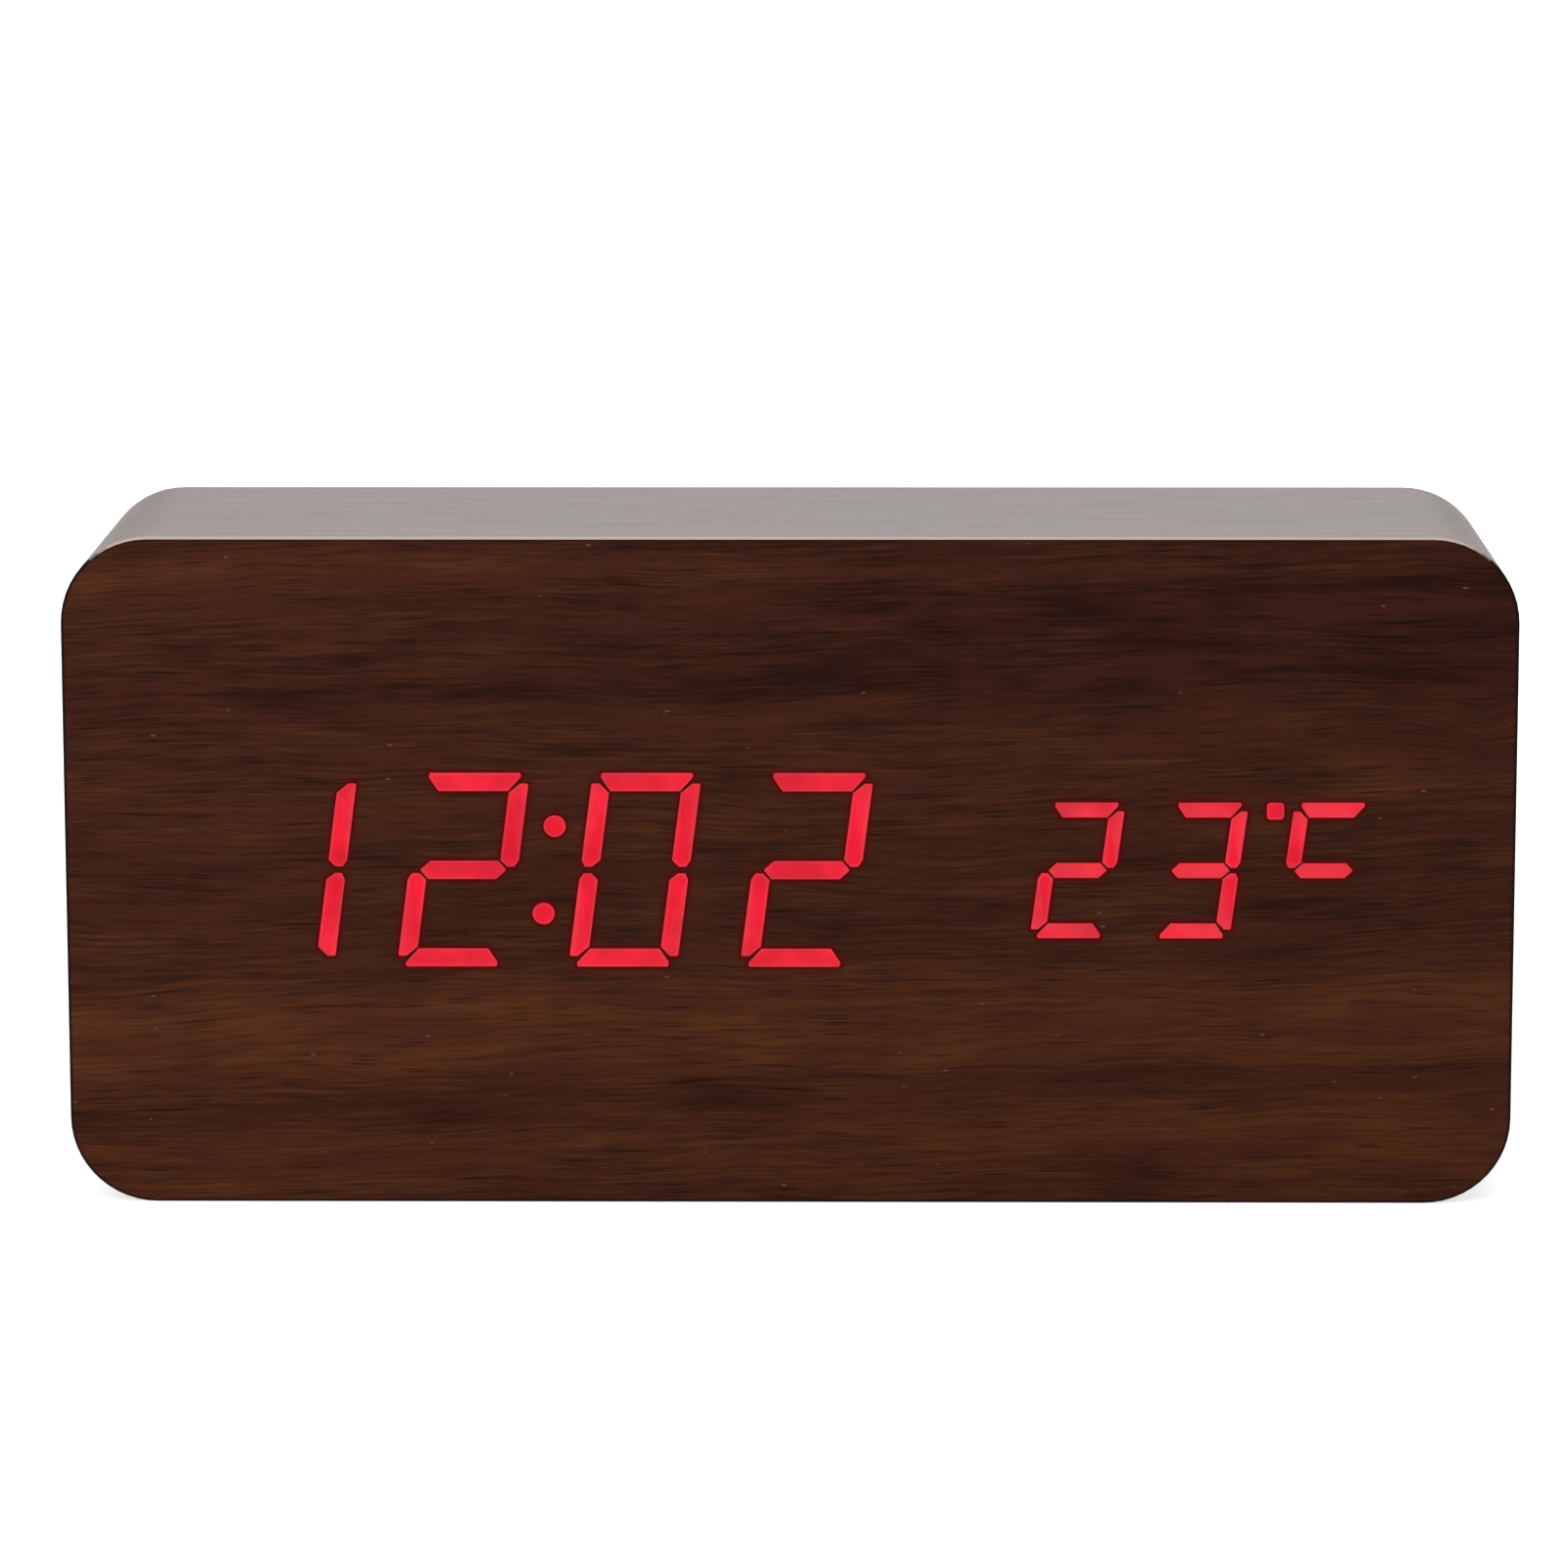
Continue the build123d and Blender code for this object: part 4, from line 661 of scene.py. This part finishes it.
def dress_all():
    """Gives every CAD node its material."""
    rim = walnut("walnut_rim", wrapped=False, shine=0.2, roughness=0.45, seed=31.0)
    dress(rim, "rear_rim_veneer")
    wrapped = walnut("walnut_wrapped", wrapped=True, shine=0.35, roughness=0.36, seed=17.0)
    dress(wrapped, "side_veneer", "bottom_veneer")
    dress(fibreboard(), "case_core")
    dress(circuit_board(), "display_board", "control_board")
    dress(ribbon(), "ribbon_cable")
    for name, colour, roughness, names in PLASTICS:
        dress(moulded(name, colour, roughness).material, *names)
    for name, colour, roughness, names in METALS:
        dress(metal(name, colour, roughness), *names)
    dress(marked_panel(), "rear_panel")
    dress(moulded("panel_plastic", **PANEL).material, "battery_door")
    dress(moulded("button_plastic", **BUTTON).material, "set_button", "up_button", "down_button")
    for name, nub_side in NUB_SIDES.items():
        dress(cell_jacket(name, nub_side), name)


# The front, meshed finely around the numerals

# A piece for each node of numerals
NUMERALS = (
    ("time_numerals", "lit_time_numerals"),
    ("temperature_numerals", "lit_temperature_numerals"),
)

# Rings of vertices on both sides of the numerals' outlines, and how close together a ring's points may be
RINGS_INSIDE = (0.07, 0.15, 0.25, 0.40, 0.55)
RINGS_OUTSIDE = (0.10, 0.20, 0.32, 0.55, 0.90)
RING_STEP = 0.01
FAR_AWAY = 1.0

# A moved corner: its least inward length, its least mitre, and the share of the distance that it has to keep
FOLDED_CORNER = 0.3
LEAST_MITRE = 0.5
TRUE_DISTANCE = 0.98

FRONT_Y = cad_box[0][1]
FACES_FRONT = 0.999
FLAT = 0.99
SMOOTH_ANGLE = math.radians(30)
MERGE = 1e-6
CLOSE = 1e-5
ON_LINE = 1e-4
LEAST_SQUARE = 1e-12


def open_front(node):
    """A copy of a node's mesh without its front faces, and the loops that bound them, in millimetres."""
    mesh = bmesh.new()
    mesh.from_mesh(nodes[node].data)
    bmesh.ops.remove_doubles(mesh, verts=mesh.verts, dist=MERGE)
    front = [
        f for f in mesh.faces
        if f.normal.y < -FACES_FRONT and f.calc_center_median().y < FRONT_Y + MERGE
    ]
    inside = set(front)
    rim = [e for e in mesh.edges if sum(f in inside for f in e.link_faces) == 1]
    bmesh.ops.delete(mesh, geom=front, context="FACES_KEEP_BOUNDARY")
    after = {}
    for edge in rim:
        for here, there in (edge.verts, reversed(edge.verts)):
            after.setdefault(here, []).append(there)
    loops = []
    left = set(after)
    while left:
        loop = [min(left, key=lambda v: v.index)]
        left.discard(loop[0])
        while onward := [v for v in after[loop[-1]] if v in left]:
            loop.append(onward[0])
            left.discard(onward[0])
        loops.append([flat_point(v) for v in loop])
    return mesh, loops


def flat_point(vert):
    """A vertex seen from the front, in millimetres."""
    return Vector((vert.co.x / MM, vert.co.z / MM))


def turned_left(loop):
    """The loop with its inside on the left."""
    area = sum(a.x * b.y - b.x * a.y for a, b in zip(loop, loop[1:] + loop[:1]))
    return loop if area > 0 else loop[::-1]


def moved_in(loop, distance):
    """The loop moved inward by a distance, or outward by a negative one."""
    points = []
    for before, here, after in zip(loop[-1:] + loop[:-1], loop, loop[1:] + loop[:1]):
        first = (here - before).normalized()
        second = (after - here).normalized()
        inward = Vector((-first.y - second.y, first.x + second.x))
        if inward.length < FOLDED_CORNER:
            points.append(here.copy())
            continue
        inward /= inward.length
        mitre = max(LEAST_MITRE, inward.dot(Vector((-first.y, first.x))))
        points.append(here + inward * distance / mitre)
    boxes = [boxed(loop)]
    kept = []
    for point in points:
        apart = all((point - other).length > RING_STEP for other in kept[:1] + kept[-1:])
        if apart and gap_to(point, boxes) > TRUE_DISTANCE * abs(distance):
            kept.append(point)
    return kept


def gap_to(point, boxes):
    """The distance from a point to the nearest loop, up to FAR_AWAY."""
    best = FAR_AWAY
    for low, high, loop in boxes:
        if not (low.x - best < point.x < high.x + best and low.y - best < point.y < high.y + best):
            continue
        for a, b in zip(loop, loop[1:] + loop[:1]):
            side = b - a
            share = min(1, max(0, (point - a).dot(side) / max(side.length_squared, LEAST_SQUARE)))
            best = min(best, (point - a - side * share).length)
    return best


def holds(loop, point):
    """Whether a loop goes round a point."""
    inside = False
    for a, b in zip(loop, loop[1:] + loop[:1]):
        if (a.y > point.y) != (b.y > point.y):
            if point.x < a.x + (point.y - a.y) * (b.x - a.x) / (b.y - a.y):
                inside = not inside
    return inside


def boxed(loop):
    """The lowest and highest corners of the loop's box, and the loop."""
    low = Vector((min(p.x for p in loop), min(p.y for p in loop)))
    high = Vector((max(p.x for p in loop), max(p.y for p in loop)))
    return low, high, loop


def split_rim(mesh, points):
    """Splits the open edges at the points that lie on them, so that the new front meets them."""
    for edge in [e for e in mesh.edges if len(e.link_faces) == 1]:
        start, end = (flat_point(v) for v in edge.verts)
        side = end - start
        length = side.length
        if length < CLOSE:
            continue
        on_it = []
        for point in points:
            share = (point - start).dot(side) / length ** 2
            if CLOSE < share * length < length - CLOSE and (start + side * share - point).length < ON_LINE:
                on_it.append(share)
        first, rest, done = edge.verts[0], edge, 0.0
        for share in sorted(on_it):
            far = rest.other_vert(first)
            new_vert = bmesh.utils.edge_split(rest, first, (share - done) / (1 - done))[1]
            rest = next(e for e in new_vert.link_edges if far in e.verts)
            first, done = new_vert, share


def fine_front(name, node, bars, rings, keep_bars, material):
    """Stands for a node, with a front whose vertices know how far they are from the numerals' outlines."""
    mesh, loops = open_front(node)
    points, edges = [], []
    bars = [turned_left(loop) for loop in bars]
    outlines = [turned_left(loop) for loop in loops]
    outlines += [moved_in(bar, ring) for bar in bars for ring in rings]
    for loop in outlines:
        first = len(points)
        points += loop
        count = len(loop)
        edges += [(first + i, first + (i + 1) % count) for i in range(count)]
    flat_points, _, faces, *_ = delaunay_2d_cdt(points, edges, [], 0, CLOSE)
    boxes = [boxed(bar) for bar in bars]
    split_rim(mesh, [p for p in flat_points if gap_to(p, boxes) < ON_LINE])
    away = mesh.verts.layers.float.new("away")
    for vert in mesh.verts:
        vert[away] = 0.0 if keep_bars else FAR_AWAY
    verts = []
    for point in flat_points:
        vert = mesh.verts.new((point.x * MM, FRONT_Y, point.y * MM))
        vert[away] = gap_to(point, boxes)
        verts.append(vert)
    for face in faces:
        middle = sum((flat_points[i] for i in face), Vector((0, 0))) / len(face)
        near = [bar for low, high, bar in boxes if low.x < middle.x < high.x and low.y < middle.y < high.y]
        if any(holds(bar, middle) for bar in near) == keep_bars:
            made = mesh.faces.new([verts[i] for i in face])
            made.normal_update()
            if made.normal.y > 0:
                made.normal_flip()
    bmesh.ops.delete(mesh, geom=[v for v in mesh.verts if not v.link_faces], context="VERTS")
    bmesh.ops.remove_doubles(mesh, verts=mesh.verts, dist=MERGE)
    bmesh.ops.recalc_face_normals(mesh, faces=mesh.faces)
    data = bpy.data.meshes.new(name)
    mesh.to_mesh(data)
    mesh.free()
    data.set_sharp_from_angle(angle=SMOOTH_ANGLE)
    for polygon in data.polygons:
        polygon.use_smooth = abs(polygon.normal.y) < FLAT
    data.materials.append(material)
    piece = bpy.data.objects.new(name, data)
    bpy.context.scene.collection.objects.link(piece)
    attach(piece, "case")
    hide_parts(node)


def add_front():
    """The front veneer with the numerals' glow on it, and the numerals."""
    film = lit_film()
    all_bars = []
    for name, node in NUMERALS:
        mesh, bars = open_front(node)
        mesh.free()
        fine_front(name, node, bars, RINGS_INSIDE, keep_bars=True, material=film)
        all_bars += bars
    wood = walnut("walnut_front", wrapped=False, shine=0.03, roughness=0.42, seed=0.0, glow=True)
    outward = [-ring for ring in RINGS_OUTSIDE]
    fine_front("front_film", "front_veneer", all_bars, outward, keep_bars=False, material=wood)


# Floor, sky and lamps

FLOOR_SIDE = 8.0
FLOOR_COLOUR = (0.8, 0.8, 0.8)
FLOOR_GLOW = 0.62
SKY_STRENGTH = 0.45
WHITE = (1, 1, 1)

# Name, place, side and power
LAMPS = (
    ("front_lamp", (-0.55, -0.75, 0.55), 1.2, 7.8),
    ("side_lamp", (1.2, -0.5, 0.8), 0.8, 4),
    ("rear_lamp", (0.1, 1.3, 1.3), 1.0, 14),
)


def seen_directly(tree):
    """1 for rays from the camera and for those that a mirror or glass has turned, else 0."""
    path = tree.node("ShaderNodeLightPath").outputs
    mirrored = tree.math("MAXIMUM", path["Is Glossy Ray"], path["Is Transmission Ray"])
    return tree.math("MAXIMUM", path["Is Camera Ray"], mirrored)


def add_floor():
    """A plain white floor that keeps the clock's shadow."""
    half = FLOOR_SIDE / 2
    mesh = bpy.data.meshes.new("floor")
    corners = [(-half, -half, 0), (half, -half, 0), (half, half, 0), (-half, half, 0)]
    mesh.from_pydata(corners, [], [(0, 1, 2, 3)])
    floor = bpy.data.objects.new("floor", mesh)
    bpy.context.scene.collection.objects.link(floor)
    finish = Finish("floor", base_color=FLOOR_COLOUR, roughness=0.9, specular_ior_level=0.0)
    finish.set("Emission Color", WHITE)
    finish.set("Emission Strength", finish.times(seen_directly(finish), FLOOR_GLOW))
    mesh.materials.append(finish.material)


def add_sky():
    """Even light from all round, and white where it is seen."""
    world = bpy.data.worlds.new("sky")
    world.use_nodes = True
    bpy.context.scene.world = world
    sky = Tree(world.node_tree)
    background = world.node_tree.nodes["Background"]
    background.inputs["Color"].default_value = (*WHITE, 1)
    sky.feed(background.inputs["Strength"], sky.band(seen_directly(sky), 0, 1, SKY_STRENGTH, 1.0))


def add_lamps():
    """Soft boxes that face the clock."""
    for name, place, side, power in LAMPS:
        data = bpy.data.lights.new(name, "AREA")
        data.size = side
        data.energy = power
        lamp = bpy.data.objects.new(name, data)
        bpy.context.scene.collection.objects.link(lamp)
        lamp.location = place
        lamp.rotation_euler = (CAMERA_TARGET - lamp.location).to_track_quat("-Z", "Y").to_euler()


add_camera()
add_sky()
add_floor()
add_lamps()
dress_all()
add_front()
bpy.context.scene.view_settings.view_transform = "Standard"
